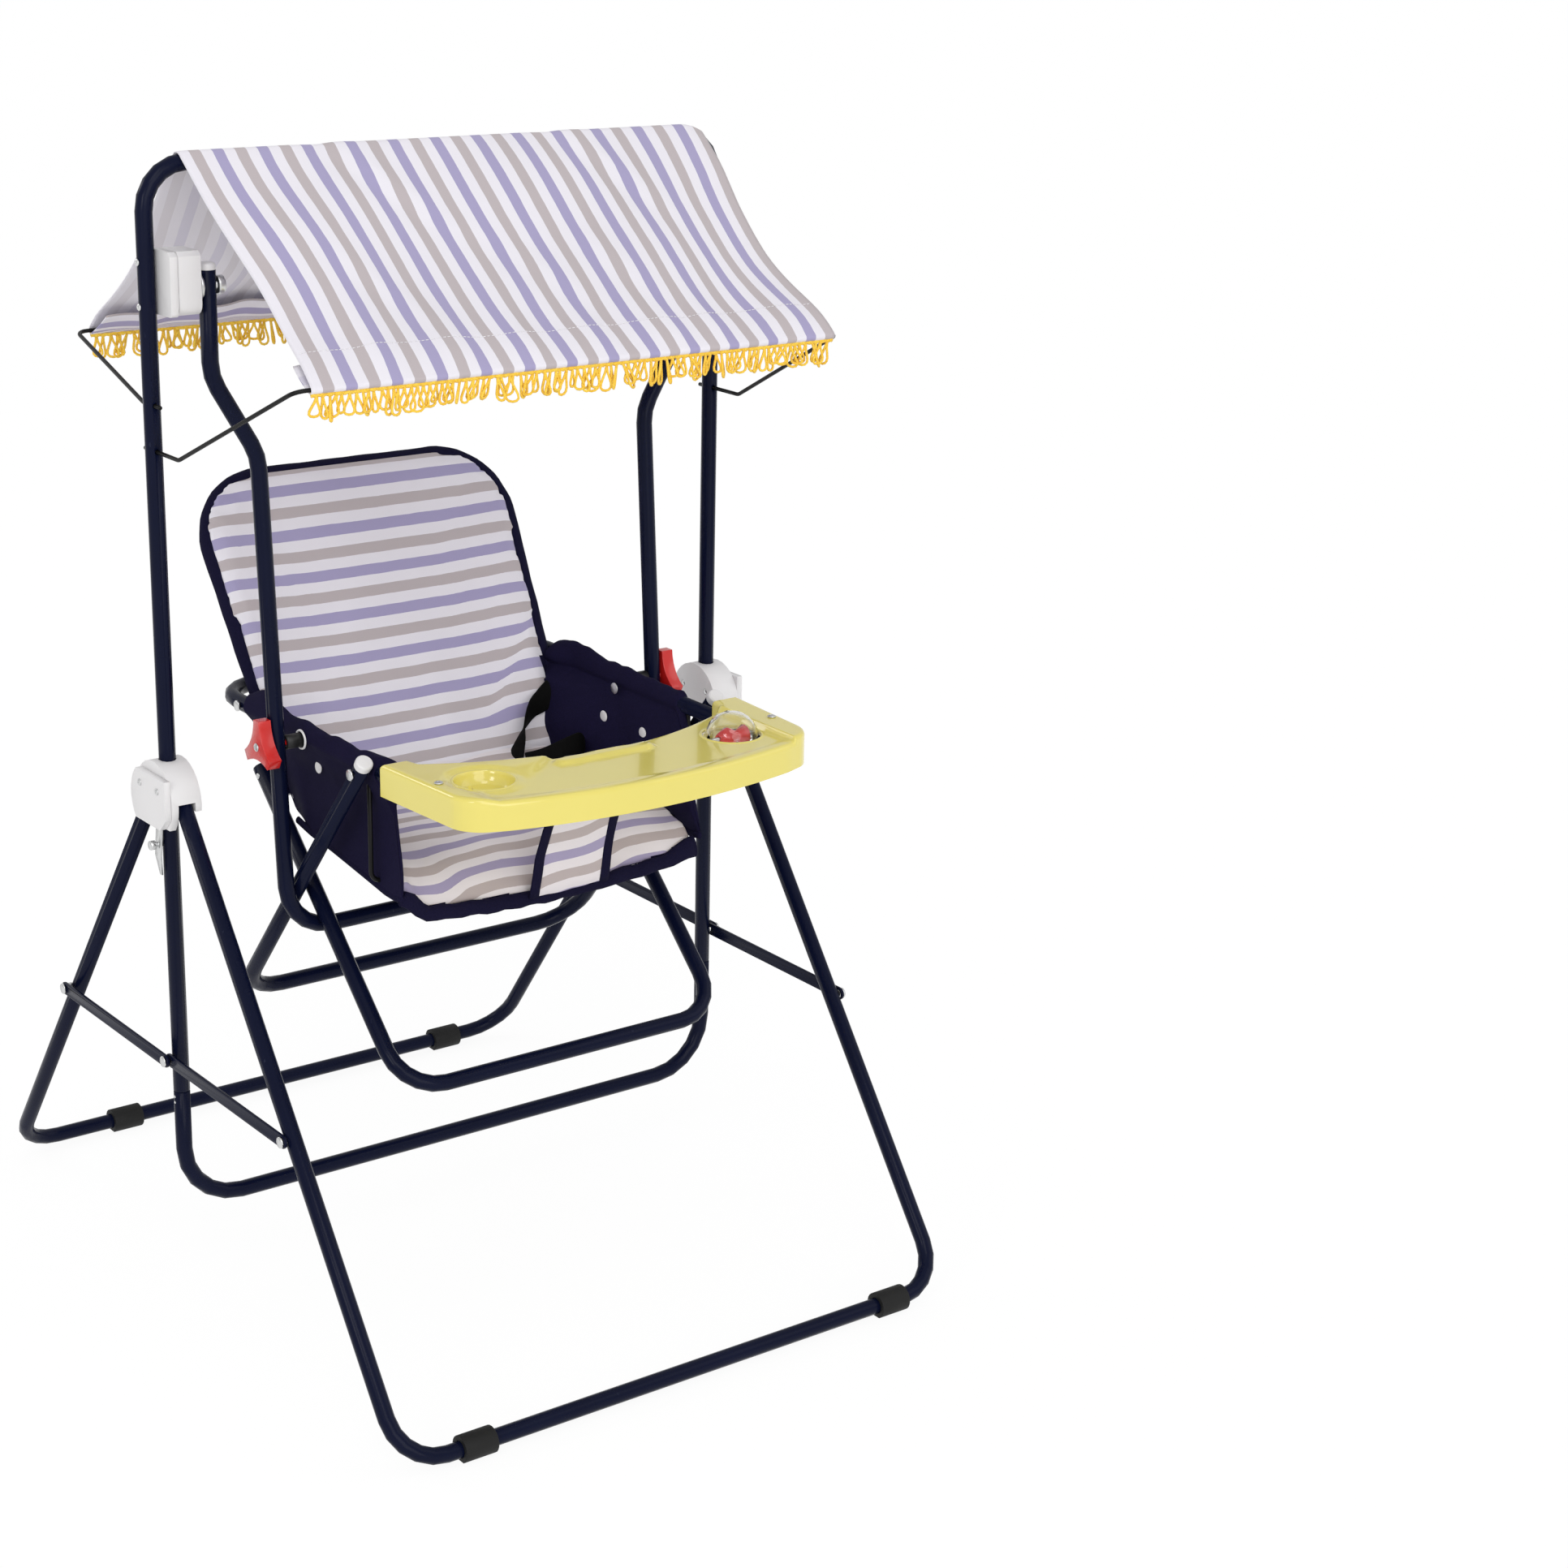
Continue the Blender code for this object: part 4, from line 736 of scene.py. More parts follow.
def stuff(obj, pressure, cap):
    """Fills a closed shape like a cushion: an even mesh, then a short cloth simulation, moves capped."""
    remesh = obj.modifiers.new("even", "REMESH")
    remesh.mode = "VOXEL"
    remesh.voxel_size = 0.005
    apply_all(obj)
    start = [v.co.copy() for v in obj.data.vertices]
    settings = obj.modifiers.new("filling", "CLOTH").settings
    settings.use_pressure = True
    settings.uniform_pressure_force = pressure
    settings.effector_weights.gravity = 0.0
    settings.tension_stiffness = 20
    settings.bending_stiffness = 0.4
    settings.quality = 5
    scene = bpy.context.scene
    for number in range(1, 21):
        scene.frame_set(number)
    apply_all(obj)
    scene.frame_set(1)
    for vertex, at in zip(obj.data.vertices, start):
        move = vertex.co - at
        if move.length > cap:
            vertex.co = at + move.normalized() * cap
    obj.data.shade_smooth()


def back_y(z):
    """The backrest tube's plane at a height."""
    return BACK_AT[0] + BACK_SLOPE * (z - BACK_AT[1])


LEAN = atan(BACK_SLOPE)
ALONG = Vector((0, sin(LEAN), cos(LEAN)))
FORWARD = Vector((0, -cos(LEAN), sin(LEAN)))
PAD_HEIGHT = (PAD_TOP_Z - PAD_LOW_Z) / cos(LEAN)
PAD_FOOT = Vector((0, back_y(PAD_LOW_Z), PAD_LOW_Z))


def on_back(x, rise, off):
    """A point of the backrest: across, up its slope and out of its plane."""
    return PAD_FOOT + Vector((x, 0, 0)) + ALONG * rise + FORWARD * off


def back_rise(co):
    """How far up the backrest's slope a point lies."""
    return (co - PAD_FOOT).dot(ALONG)


def pad_half(rise):
    """Half width of the backrest's solid at a distance up its slope."""
    top = PAD_HEIGHT - PAD_CORNER
    straight = PAD_LOW_HALF + (PAD_TOP_HALF - PAD_LOW_HALF) * min(1.0, rise / top)
    if rise <= top:
        return straight
    across = sqrt(max(0.0, 1 - ((rise - top) / PAD_CORNER) ** 2))
    return PAD_TOP_HALF - PAD_CORNER + PAD_CORNER * across


def back_line():
    """Right half of the backrest tube's middle line as (across, rise), from foot to middle of its top."""
    rise = (BACK_TOP_Z - PAD_LOW_Z) / cos(LEAN)
    foot = Vector((BACK_LOW_X, 0.0))
    corner = Vector((BACK_TOP_X, rise))
    down = (foot - corner).normalized()
    half = acos(down.dot(Vector((-1, 0)))) / 2
    start = corner + down * BACK_BEND / tan(half)
    end = corner - Vector((BACK_BEND / tan(half), 0))
    centre = end - Vector((0, BACK_BEND))
    line = [foot.lerp(start, i / 20) for i in range(20)]
    first = atan2(start.y - centre.y, start.x - centre.x)
    for i in range(17):
        angle = first + (pi / 2 - first) * i / 16
        line.append(centre + Vector((cos(angle), sin(angle))) * BACK_BEND)
    return line + [Vector((end.x * (1 - i / 8), rise)) for i in range(1, 9)]


BACK_LINE = back_line()
BACK_RISE = BACK_LINE[-1].y


def back_half(rise):
    """Half width between the backrest tube's middle lines at a distance up its slope."""
    for a, b in zip(BACK_LINE, BACK_LINE[1:]):
        if rise <= b.y and b.y > a.y:
            return a.x + (b.x - a.x) * max(0.0, rise - a.y) / (b.y - a.y)
    return max(p.x for p in BACK_LINE if p.y >= BACK_RISE - 1e-6)


def pad_middle(x, rise):
    """How far the pad's middle layer lies in front of the tube's plane: it hangs back between the tubes."""
    inside = min(back_half(max(0.0, rise)) - abs(x), BACK_RISE - rise)
    return PAD_AHEAD - PAD_SAG * ease(0.008, 0.105, inside) * (0.35 + 0.65 * ease(-0.01, 0.06, rise))


def pad_fold(x, rise):
    """Share of the lifted cloth below the diagonal fold at the pad's lower right."""
    below = (x - 0.098) * 0.771 - (rise - 0.062) * 0.637
    return ease(-0.005, 0.007, below) * ease(0.072, 0.108, x) * ease(0.010, 0.050, rise)


def pad_print(co):
    rise = back_rise(co)
    return PAD_HEIGHT - rise + 0.60 * STRIPE + 0.0060 * pad_fold(co.x - PAD_SLIDE, rise)


def build_back_pad():
    rows, columns = 40, 40
    front = []
    back = []
    for i in range(rows):
        rise = PAD_TUCK + (BACK_RISE + PAD_LAP - PAD_TUCK) * i / (rows - 1)
        half = back_half(max(0.0, rise - PAD_LAP)) + PAD_LAP
        for k in range(columns):
            x = half * (2 * k / (columns - 1) - 1)
            middle = pad_middle(x, rise)
            front.append(on_back(x + PAD_SLIDE, rise, middle + PAD_LOFT))
            back.append(on_back(x + PAD_SLIDE, rise, middle - PAD_LOFT))
    pad = piece("backrest_cover", *shell(front, back, rows, columns), STRIPES, "swing", "striped_cloth")
    stuff(pad, 3.0, 0.0030)
    repaint(pad, STRIPES, NAVY_CLOTH)
    for face in pad.data.polygons:
        side_edge = abs(face.normal.x) > 0.35 and back_rise(face.center) < 0.09
        backing = face.normal.dot(FORWARD) < -0.25 or side_edge
        face.material_index = 1 if backing else 0
    for vertex in pad.data.vertices:
        rise = back_rise(vertex.co)
        x = vertex.co.x - PAD_SLIDE
        if (vertex.co - PAD_FOOT).dot(FORWARD) < pad_middle(x, rise):
            continue
        low = 1 - ease(0.02, 0.16, rise)
        edge = ease(0.60, 0.97, abs(x) / max(0.02, back_half(rise)))
        fold = wrinkle(x * 26, rise * 5, 1.7) * 0.0030 * (0.25 + low)
        pucker = wrinkle(x * 60, rise * 60, 4.2) * 0.0016 * edge
        lift = 0.0045 * pad_fold(x, rise) * (1 - ease(0.140, 0.160, x))
        vertex.co += FORWARD * (fold + pucker + lift)
    mark_print(pad, pad_print)
    refine(pad)
    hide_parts("back_pad")

    both = [(p.x, p.y) for p in BACK_LINE[1:]] + [(-p.x, p.y) for p in BACK_LINE[-2:0:-1]]
    path = [on_back(x, rise, 0.0003 * sin(i * 1.3)) for i, (x, rise) in enumerate(both)]

    def tape(share):
        swell = 1 + 0.02 * sin(share * 160) + 0.02 * sin(share * 67)
        return round_section(0.0096 * swell, 0.0098 * swell, 18)

    piece("backrest_binding", *sweep(path, tape, FORWARD), BINDING, "swing", "navy_cloth")


# The seat's top in side view, from the crease over the wire to the lip
SEAT_TOP = (
    (0.045, 0.5035), (0.024, 0.4935), (-0.005, 0.4905), (-0.035, 0.4890), (-0.070, 0.4860),
    (-0.115, 0.4805), (-0.150, 0.4745), (-0.175, 0.4640), (-0.189, 0.4495), (-0.192, 0.4400),
)


def seat_drop(x, y):
    """How far the cloth sags between the panels, most at its lip, and rises at the lip's round ends."""
    middle = 1 - (x / SEAT_SPAN) ** 2
    corner = 0.0170 * ease(0.138, 0.1660, -x) + 0.0020 * ease(0.145, 0.1660, x)
    lip = corner * ease(-0.150, -0.187, y) - 0.0085 * middle * ease(-0.145, -0.19, y)
    return lip - 0.0030 * middle * ease(0.0, -0.06, y)


def seat_wander(co):
    """How far the stripes wander off straight, most in the wrinkled left front corner."""
    even = 0.008 * wrinkle(co.x * 11, co.y * 9, 0.3)
    corner = ease(-0.05, -0.15, co.y) * ease(0.0, -0.14, co.x)
    slant = 0.0140 * ease(-0.06, 0.10, co.x)
    return even + slant + 0.022 * corner * wrinkle(co.x * 22, co.y * 14, 6.3)


def seat_print(co):
    return 0.012 - co.y + 0.55 * max(0.0, 0.4905 - co.z) + 0.9 * STRIPE + seat_wander(co)


def build_seat_pad():
    rows, columns = 36, 40
    line = smooth_path([(0, y, z) for y, z in SEAT_TOP], 6)
    lengths = [0.0]
    for a, b in zip(line, line[1:]):
        lengths.append(lengths[-1] + (b - a).length)
    front = []
    back = []
    for i in range(rows):
        at = lengths[-1] * i / (rows - 1)
        k = max(j for j in range(len(lengths) - 1) if lengths[j] <= at + 1e-9)
        share = (at - lengths[k]) / max(1e-9, lengths[k + 1] - lengths[k])
        here = line[k].lerp(line[k + 1], share)
        ahead = (line[k + 1] - line[k]).normalized()
        out = Vector((0, ahead.z, -ahead.y))
        way = 1 if out.z > 0 else -1
        for j in range(columns):
            x = (SEAT_HALF - 0.012 * ease(-0.10, 0.03, here.y)) * (2 * j / (columns - 1) - 1)
            drop = Vector((x + SEAT_SLIDE, 0, seat_drop(x, here.y)))
            front.append(here - out * 0.0025 * way + drop)
            back.append(here - out * 0.0100 * way + drop)
    seat = piece("seat_cover", *shell(front, back, rows, columns), STRIPES, "swing", "striped_cloth")
    face_out(seat)
    stuff(seat, 2.5, 0.0035)
    repaint(seat, STRIPES_WARM, NAVY_CLOTH)
    for vertex in seat.data.vertices:
        x, y, z = vertex.co
        near = ease(0.10, 0.165, abs(x)) + 0.4
        fold = wrinkle(x * 20, y * 34, 2.2) * 0.0042 * near * ease(-0.02, -0.12, y)
        fold *= 1 - ease(-0.174, -0.188, y)
        vertex.co.z += fold
    for face in seat.data.polygons:
        side_edge = abs(face.normal.x) > 0.6 and face.center.y > -0.12
        backing = face.normal.z < -0.15 or face.normal.y > 0.45 or side_edge
        face.material_index = 1 if backing else 0
    mark_print(seat, seat_print)
    refine(seat)
    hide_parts("seat_pad")

    path = []
    steps = 36
    for i in range(steps + 1):
        x = 0.1662 * (2 * i / steps - 1)
        z = SEAT_LIP[1] + seat_drop(x, -0.19) + 0.0006 * sin(i * 1.7) + 0.0040 * ease(0.135, 0.160, x)
        path.append((x + SEAT_SLIDE, SEAT_LIP[0] + 0.0006 * sin(i), z))

    def tape(share):
        swell = 1 + 0.06 * sin(share * 70)
        return round_section(0.0052 * swell, 0.0076 * swell + 0.0040 * ease(0.90, 0.98, share), 12)

    piece("seat_front_binding", *sweep(path, tape, (0, 0, 1)), BINDING, "swing", "navy_cloth")


# A side panel's lower edge in side view
PANEL_EDGE = (
    (-0.197, 0.4540), (-0.180, 0.4515), (-0.160, 0.4520), (-0.125, 0.4570),
    (-0.059, 0.4660), (-0.018, 0.4700), (0.013, 0.4760), (0.08, 0.4900),
)
PANEL_REAR = back_y(0.476) - 0.011


def panel_low(y):
    """Height of a side panel's lower edge."""
    for (y0, z0), (y1, z1) in zip(PANEL_EDGE, PANEL_EDGE[1:]):
        if y <= y1:
            return z0 + (z1 - z0) * (y - y0) / (y1 - y0)
    return PANEL_EDGE[-1][1]


def panel_lean(sign, z):
    """How far a panel leans in below its arm: the sling hangs to the left, so only the right one."""
    if sign < 0:
        return 0.0
    return 0.0100 * (1 - ease(0.490, 0.560, z)) - 0.0060 * (1 - ease(0.455, 0.485, z))


def panel_bulge(sign, t, z):
    """How far a panel's padding is pushed in where it meets the backrest."""
    depth = 0.028 if sign > 0 else 0.016
    return depth * ease(0.45, 1.0, t) * exp(-((z - 0.525) / 0.042) ** 2)


def panel_ends(sign, z):
    """Where a panel begins in front and ends behind, at a height."""
    middle, top = (0.030, 0.022) if sign > 0 else (0.012, 0.006)
    front = PANEL_FRONT + middle * ease(0.455, 0.545, z) + top * ease(0.535, 0.572, z)
    return front, back_y(min(z, ARM_Z)) - 0.0075


def panel_lap(sign, t, x, z):
    """How far a sleeve's inner side is pushed in: the right panel's rear, the left panel's front."""
    depth = 0.0130 * ease(0.80, 1.0, t) if sign > 0 else 0.0140 * (1 - ease(0.0, 0.22, t))
    return depth * ease(ARM_Z - 0.030, ARM_Z - 0.005, z) * ease(0.0, 0.010, ARM_X - x)


def panel_inner(sign, y, z):
    """Across place of a panel's inner face beside the seat."""
    front, rear = panel_ends(sign, z)
    return 0.1668 - panel_lean(sign, z) - panel_bulge(sign, (y - front) / (rear - front), z)


def panel_outline(sign, t):
    """A panel's section as (across, height) at a share of its length: outside, over the arm, inside."""
    hang, turn = 14, 16
    low = panel_low(PANEL_FRONT + (PANEL_REAR - PANEL_FRONT) * t)
    ruffle = 0.0054 + 0.0052 * wrinkle(t * 8, 0.4, sign) + 0.0005 * sin(t * 61)
    ruffle += 0.0085 * ease(0.62, 0.84, t) * (1 - 0.95 * ease(0.86, 1.0, t))
    outline = []
    for i in range(hang):
        share = i / hang
        z = low + (ARM_Z - 0.009 - low) * share
        fold = wrinkle(t * 5, z * 24, 5 * sign) * 0.0010
        out = PANEL_OUTER + max(0.0, fold) * (1 - share) + 0.0125 * ease(0.532, 0.566, z)
        bulge = 0.5 * panel_bulge(sign, t, z) if sign > 0 else 0
        outline.append((out - panel_lean(sign, z) - bulge, z))
    for i in range(turn + 1):
        angle = radians(-50 + 278 * i / turn)
        reach = SLEEVE + ruffle * max(0.0, sin(angle))
        outline.append((ARM_X + SLEEVE * cos(angle), ARM_Z + reach * sin(angle)))
    for i in range(hang):
        share = (i + 1) / hang
        z = ARM_Z - 0.008 - (ARM_Z - 0.008 - low) * share
        fold = wrinkle(t * 6, z * 16, 9 * sign) * 0.0030
        plump = 0.0042 * sin(pi * share) * sin(pi * min(1.0, 0.08 + t)) ** 0.6
        inner = PANEL_INNER - plump - max(0.0, fold) * sin(pi * share)
        outline.append((inner - panel_lean(sign, z) - panel_bulge(sign, t, z), z))
    return outline


def build_side_panels():
    """Navy padded sides that hang from loose sleeves round the arms."""
    rows = 64
    stops = 24
    tape = round_section(0.0027, 0.0040, 10)
    for side, sign in SIDES:
        points = []
        for r in range(rows):
            t = r / (rows - 1)
            for x, z in panel_outline(sign, t):
                front, rear = panel_ends(sign, z)
                edge_x = pad_half(max(0.0, (z - PAD_LOW_Z) / cos(LEAN))) + 0.0010
                meet = max(0.0, PANEL_INNER - edge_x) * ease(0.76, 1.0, t)
                meet *= 1 - ease(ARM_Z - 0.016, ARM_Z, z)
                across = x - meet - panel_lap(sign, t, x, z)
                points.append((sign * across, front + (rear - front) * t, z))
        faces = tube_faces(rows, len(points) // rows)
        panel = piece(f"side_panel_cloth_{side}", points, faces, NAVY_CLOTH, "swing", "navy_cloth")
        face_out(panel)
        refine(panel)
        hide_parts(f"side_panel_{side}")
        edge = []
        for i in range(stops + 1):
            y = PANEL_FRONT + 0.0015 + (0.008 - PANEL_FRONT) * i / stops
            low = panel_low(y) + 0.001
            edge.append((sign * (0.1709 - panel_lean(sign, low)), y, low))
        rim = sweep(edge, tape, (0, 0, 1))
        piece(f"side_panel_binding_{side}", *rim, BINDING, "swing", "navy_cloth")


def tongue_print(co):
    wave = 0.0022 * sin(co.x * 75 + co.z * 40)
    return (co.z - 0.4479) * 0.92 + 0.875 * STRIPE - 0.13 * (co.x - 0.0066) + wave


def build_crotch_panel():
    """The striped tongue from the seat's front lip up to the tray, with bound edges."""
    low = (Vector((-0.030, -0.1962, 0.4290)), Vector((0.050, -0.1962, 0.4310)))
    high = (Vector((-0.034, -0.2655, 0.5655)), Vector((0.037, -0.2655, 0.5655)))
    rows, columns = 18, 12
    front = []
    back = []
    for i in range(rows):
        t = i / (rows - 1)
        for k in range(columns):
            s = k / (columns - 1)
            at = low[0].lerp(low[1], s).lerp(high[0].lerp(high[1], s), t)
            bow = 0.010 * sin(pi * t) + 0.0015 * wrinkle(s * 4, t * 5, 0)
            at += Vector(TONGUE_OUT) * bow
            front.append(at + Vector((0, -0.0009, 0.0005)))
            back.append(at + Vector((0, 0.0009, -0.0005)))
    form = shell(front, back, rows, columns)
    tongue = piece("crotch_panel", *form, STRIPES_WARM, "swing", "striped_cloth")
    mark_print(tongue, tongue_print)
    for side, k in (("left", 0), ("right", columns - 1)):
        path = [(front[i * columns + k] + back[i * columns + k]) / 2 for i in range(rows)]
        tape = sweep(path, round_section(0.0058, 0.0018, 10), TONGUE_OUT)
        piece(f"crotch_binding_{side}", *tape, BINDING, "swing", "navy_cloth")


def build_harness():
    """A black webbing strap from the right of the crease, and the loose belt end that it goes into."""
    hung = [(0.1540, 0.0510, 0.5500), (0.1335, 0.0420, 0.5420), (0.1180, 0.0365, 0.5365)]
    hung += [(0.1045, 0.0310, 0.5220), (0.0960, 0.0265, 0.5080), (0.0835, 0.0180, 0.4925)]

    def twisted(share):
        angle = radians(-15 + 136 * share)
        c, s = cos(angle), sin(angle)
        return [(a * c - b * s, a * s + b * c) for a, b in flat_section(0.023, 0.0018)]

    strap = sweep(smooth_path(hung, 8), twisted, FORWARD)
    piece("harness_strap", *strap, WEBBING, "swing", "black_plastic")
    loop = [(0.148, -0.014, 0.505), (0.138, -0.026, 0.506), (0.126, -0.032, 0.506)]
    loop += [(0.106, -0.034, 0.505), (0.090, -0.027, 0.503), (0.079, -0.012, 0.500)]

    def upright(share):
        height = 0.036 * ease(-0.10, 0.36, share) * (1 - 0.65 * ease(0.40, 1.05, share))
        return [(b, a) for a, b in flat_section(0.003 + height, 0.0024)]

    belt = sweep(smooth_path(loop, 8), upright, (0, 0, 1))
    piece("harness_belt", *belt, WEBBING, "swing", "black_plastic")


# Tray


def tray_rear(x):
    """The tray's rear edge in plan: an end block beside each arm and a hollow between them."""
    bow = 1 - (min(abs(x), TRAY_INNER) / TRAY_INNER) ** 2
    hollow = TRAY_END + (TRAY_REAR - TRAY_END) * (0.25 + 0.75 * bow)
    return hollow + (TRAY_END - hollow) * ease(TRAY_INNER - 0.0008, TRAY_INNER + 0.0016, abs(x))


def tray_front(x):
    """The tray's front edge in plan: a shallow bow between two round corners."""
    corner = TRAY_HALF - TRAY_CORNER
    meet = corner + TRAY_CORNER * cos(radians(65))
    meet_y = TRAY_CORNER_Y - TRAY_CORNER * sin(radians(65))
    if abs(x) > meet:
        return TRAY_CORNER_Y - sqrt(max(0.0, TRAY_CORNER ** 2 - (abs(x) - corner) ** 2))
    return meet_y + (TRAY_FRONT - meet_y) * (1 - (x / meet) ** 2)


def spread(low, high, step, close):
    """Even stops from low to high, with closer ones near both ends."""
    count = round((high - low) / step)
    stops = {round(low + (high - low) * i / count, 6) for i in range(count + 1)}
    for gap in close:
        stops |= {round(low + gap, 6), round(high - gap, 6)}
    return sorted(stops)


def tray_taper(x, y):
    """A place of the straight-sided plan moved in with the tapered sides."""
    ahead = min(1.0, max(0.0, (TRAY_END - y) / (TRAY_END - TRAY_CORNER_Y)))
    return x - copysign(TRAY_TAPER * ahead * ease(0.150, 0.182, abs(x)), x)


def tray_relief(x, y):
    """Height over the basin: ends over the arms, a wedge behind the cup, the front rim, a bar behind."""
    right = 0.0058 * ease(0.1625, 0.1665, x)
    left = 0.0046 * ease(0.150, 0.178, -x)
    past_ridge = (x + 0.063) * -0.667 + (y + 0.269) * 0.745
    wedge = 0.0046 * ease(-0.004, 0.004, past_ridge) * (1 - ease(0.270, 0.308, -y))
    rim = 0.0012 * (1 - ease(0.010, 0.017, y - tray_front(x)))
    away = hypot(max(0.0, abs(x - BAR_X) - BAR_HALF), y - BAR_Y)
    bar = 0.0036 * (1 - ease(0.0058, 0.0088, away))
    return max(right, left, wedge, rim, bar)


def tray_level(x, y):
    """The relief, made level round the cup and the rattle's hole."""
    height = tray_relief(x, y)
    for centre, reach in ((CUP_AT, 0.031), (RATTLE_AT, 0.0312)):
        near = 1 - ease(reach, reach + 0.007, hypot(x - centre[0], y - centre[1]))
        if near > 0 and x < 0.162:
            height += (tray_relief(*centre) - height) * near
    return height


def tray_top(x, y):
    return TRAY_TOP - TRAY_BASIN + tray_level(x, y)


def build_tray():
    """The moulded tray, with its collar round the rattle's hole and its cup well."""
    near = (0.0004, 0.0010, 0.0018, 0.0028, 0.0042)
    xs = set(spread(-TRAY_HALF, TRAY_HALF, 0.0035, near))
    for gap in (-0.0008, -0.0002, 0.0004, 0.0010, 0.0016, 0.0030):
        xs |= {TRAY_INNER + gap, -TRAY_INNER - gap}
    xs = sorted(xs)
    shares = spread(0.0, 1.0, 0.026, [gap / 0.13 for gap in near])
    edge = [Vector((x, tray_rear(x))) for x in xs] + [Vector((x, tray_front(x))) for x in reversed(xs)]
    sides = list(zip(edge, edge[1:] + edge[:1]))

    def to_edge(x, y):
        at = Vector((x, y))
        best = 1.0
        for a, b in sides:
            along = b - a
            share = min(1.0, max(0.0, (at - a).dot(along) / max(1e-12, along.length_squared)))
            best = min(best, (at - a - along * share).length)
        return best

    columns = len(xs)
    rows = len(shares)
    points = []
    for share in shares:
        for x in xs:
            y = tray_rear(x) + (tray_front(x) - tray_rear(x)) * share
            by_edge = min(share, 1 - share) < 0.1 or TRAY_HALF - abs(x) < 0.04
            gap = to_edge(x, y) if by_edge else TRAY_ROLL
            drop = TRAY_ROLL - sqrt(max(0.0, TRAY_ROLL ** 2 - max(0.0, TRAY_ROLL - gap) ** 2))
            at = tray_taper(x, y)
            points.append(Vector((at, y, tray_top(at, y) - drop)))
    faces = []
    wells = ((CUP_AT, 0.0282), (RATTLE_AT, 0.0292))
    moved = {}
    for face in grid_faces(rows, columns):
        middle = sum((points[i] for i in face), Vector()) / 4
        inside = [w for w in wells if hypot(middle.x - w[0][0], middle.y - w[0][1]) < w[1]]
        if inside:
            moved.update({i: inside[0] for i in face})
        else:
            faces.append(tuple(reversed(face)))
    used = {i for face in faces for i in face}
    for i, (centre, radius) in moved.items():
        if i in used:
            out = Vector((points[i].x - centre[0], points[i].y - centre[1])).normalized() * radius
            points[i] = Vector((centre[0] + out.x, centre[1] + out.y, points[i].z))
    rim = grid_rim(rows, columns)
    above = rim
    for fall in (0.009, 0.018, TRAY_SKIRT - 0.001, TRAY_SKIRT):
        base = len(points)
        points.extend(Vector((points[i].x, points[i].y, TRAY_TOP - fall)) for i in rim)
        below = list(range(base, base + len(rim)))
        for k in range(len(rim)):
            n = (k + 1) % len(rim)
            faces.append((above[k], above[n], below[n], below[k]))
        above = below
    tray = piece("tray_moulding", points, faces, YELLOW, "swing", "yellow_plastic")
    shape = bmesh.new()
    shape.from_mesh(tray.data)
    loose = [v for v in shape.verts if not v.link_faces]
    bmesh.ops.delete(shape, geom=loose, context="VERTS")
    shape.to_mesh(tray.data)
    shape.free()
    wall = tray.modifiers.new("wall", "SOLIDIFY")
    wall.thickness = TRAY_WALL
    wall.offset = -1.0
    apply_all(tray)
    tray.data.set_sharp_from_angle(angle=radians(50))
    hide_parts("tray")

    lip = [(-0.0030, 0.0278), (0.0002, 0.0278), (0.0007, 0.0284), (0.0008, 0.0293)]
    lip += [(0.0004, 0.0306), (-0.0004, 0.0316), (-0.0030, 0.0310)]
    at = (*RATTLE_AT, TRAY_TOP - TRAY_BASIN)
    ring("tray_rattle_collar", lip, at, (0, 0, 1), YELLOW, "swing", "yellow_plastic", 48)
    floor = -CUP_DEEP
    well = [(floor, 0.0001), (floor, 0.020), (floor + 0.0010, 0.0235), (floor + 0.0035, 0.0255)]
    well += [(-0.0030, 0.0270), (-0.0006, 0.0274), (0.0004, 0.0280), (0.0006, 0.0288)]
    well += [(0.0003, 0.0300), (-0.0005, 0.0306), (-0.0030, 0.0300)]
    well += [(floor - 0.0018, 0.0262), (floor - 0.0020, 0.0001)]
    at = (*CUP_AT, tray_top(*CUP_AT))
    face_out(turned("tray_cup_well", well, at, (0, 0, 1), YELLOW, "swing", "yellow_plastic", 48))


# Fittings

# Turned profiles as (along in metres, share of the radius)
SCREW = (
    (-0.001, 0.6), (0.0, 1.0), (0.0007, 0.97), (0.0014, 0.72), (0.0017, 0.40), (0.0011, 0.30), (0.0009, 0.05),
)
PLUG = ((0.0, 1.0), (0.004, 1.02), (0.0058, 0.92), (0.0068, 0.60), (0.0070, 0.05))
CAP = ((-0.0035, 1.02), (0.0, 1.06), (0.0032, 1.04), (0.0046, 0.87), (0.0050, 0.05))
DOME = ((0.0, 1.0), (0.000594, 0.97), (0.001188, 0.80), (0.001518, 0.45), (0.00165, 0.05))
DIMPLE = [(-0.0004, 0.0012), (0.0001, 0.0016), (0.0003, 0.0008), (0.0003, 0.0001)]
SNAP_RADIUS = 0.0060


def scaled(profile, radius):
    return [(along, radius * share) for along, share in profile]


def screw_head(name, at, axis, body, radius):
    """A round head with a small recess."""
    turned(name, scaled(SCREW, radius), at, axis, ZINC, body, sides=20)


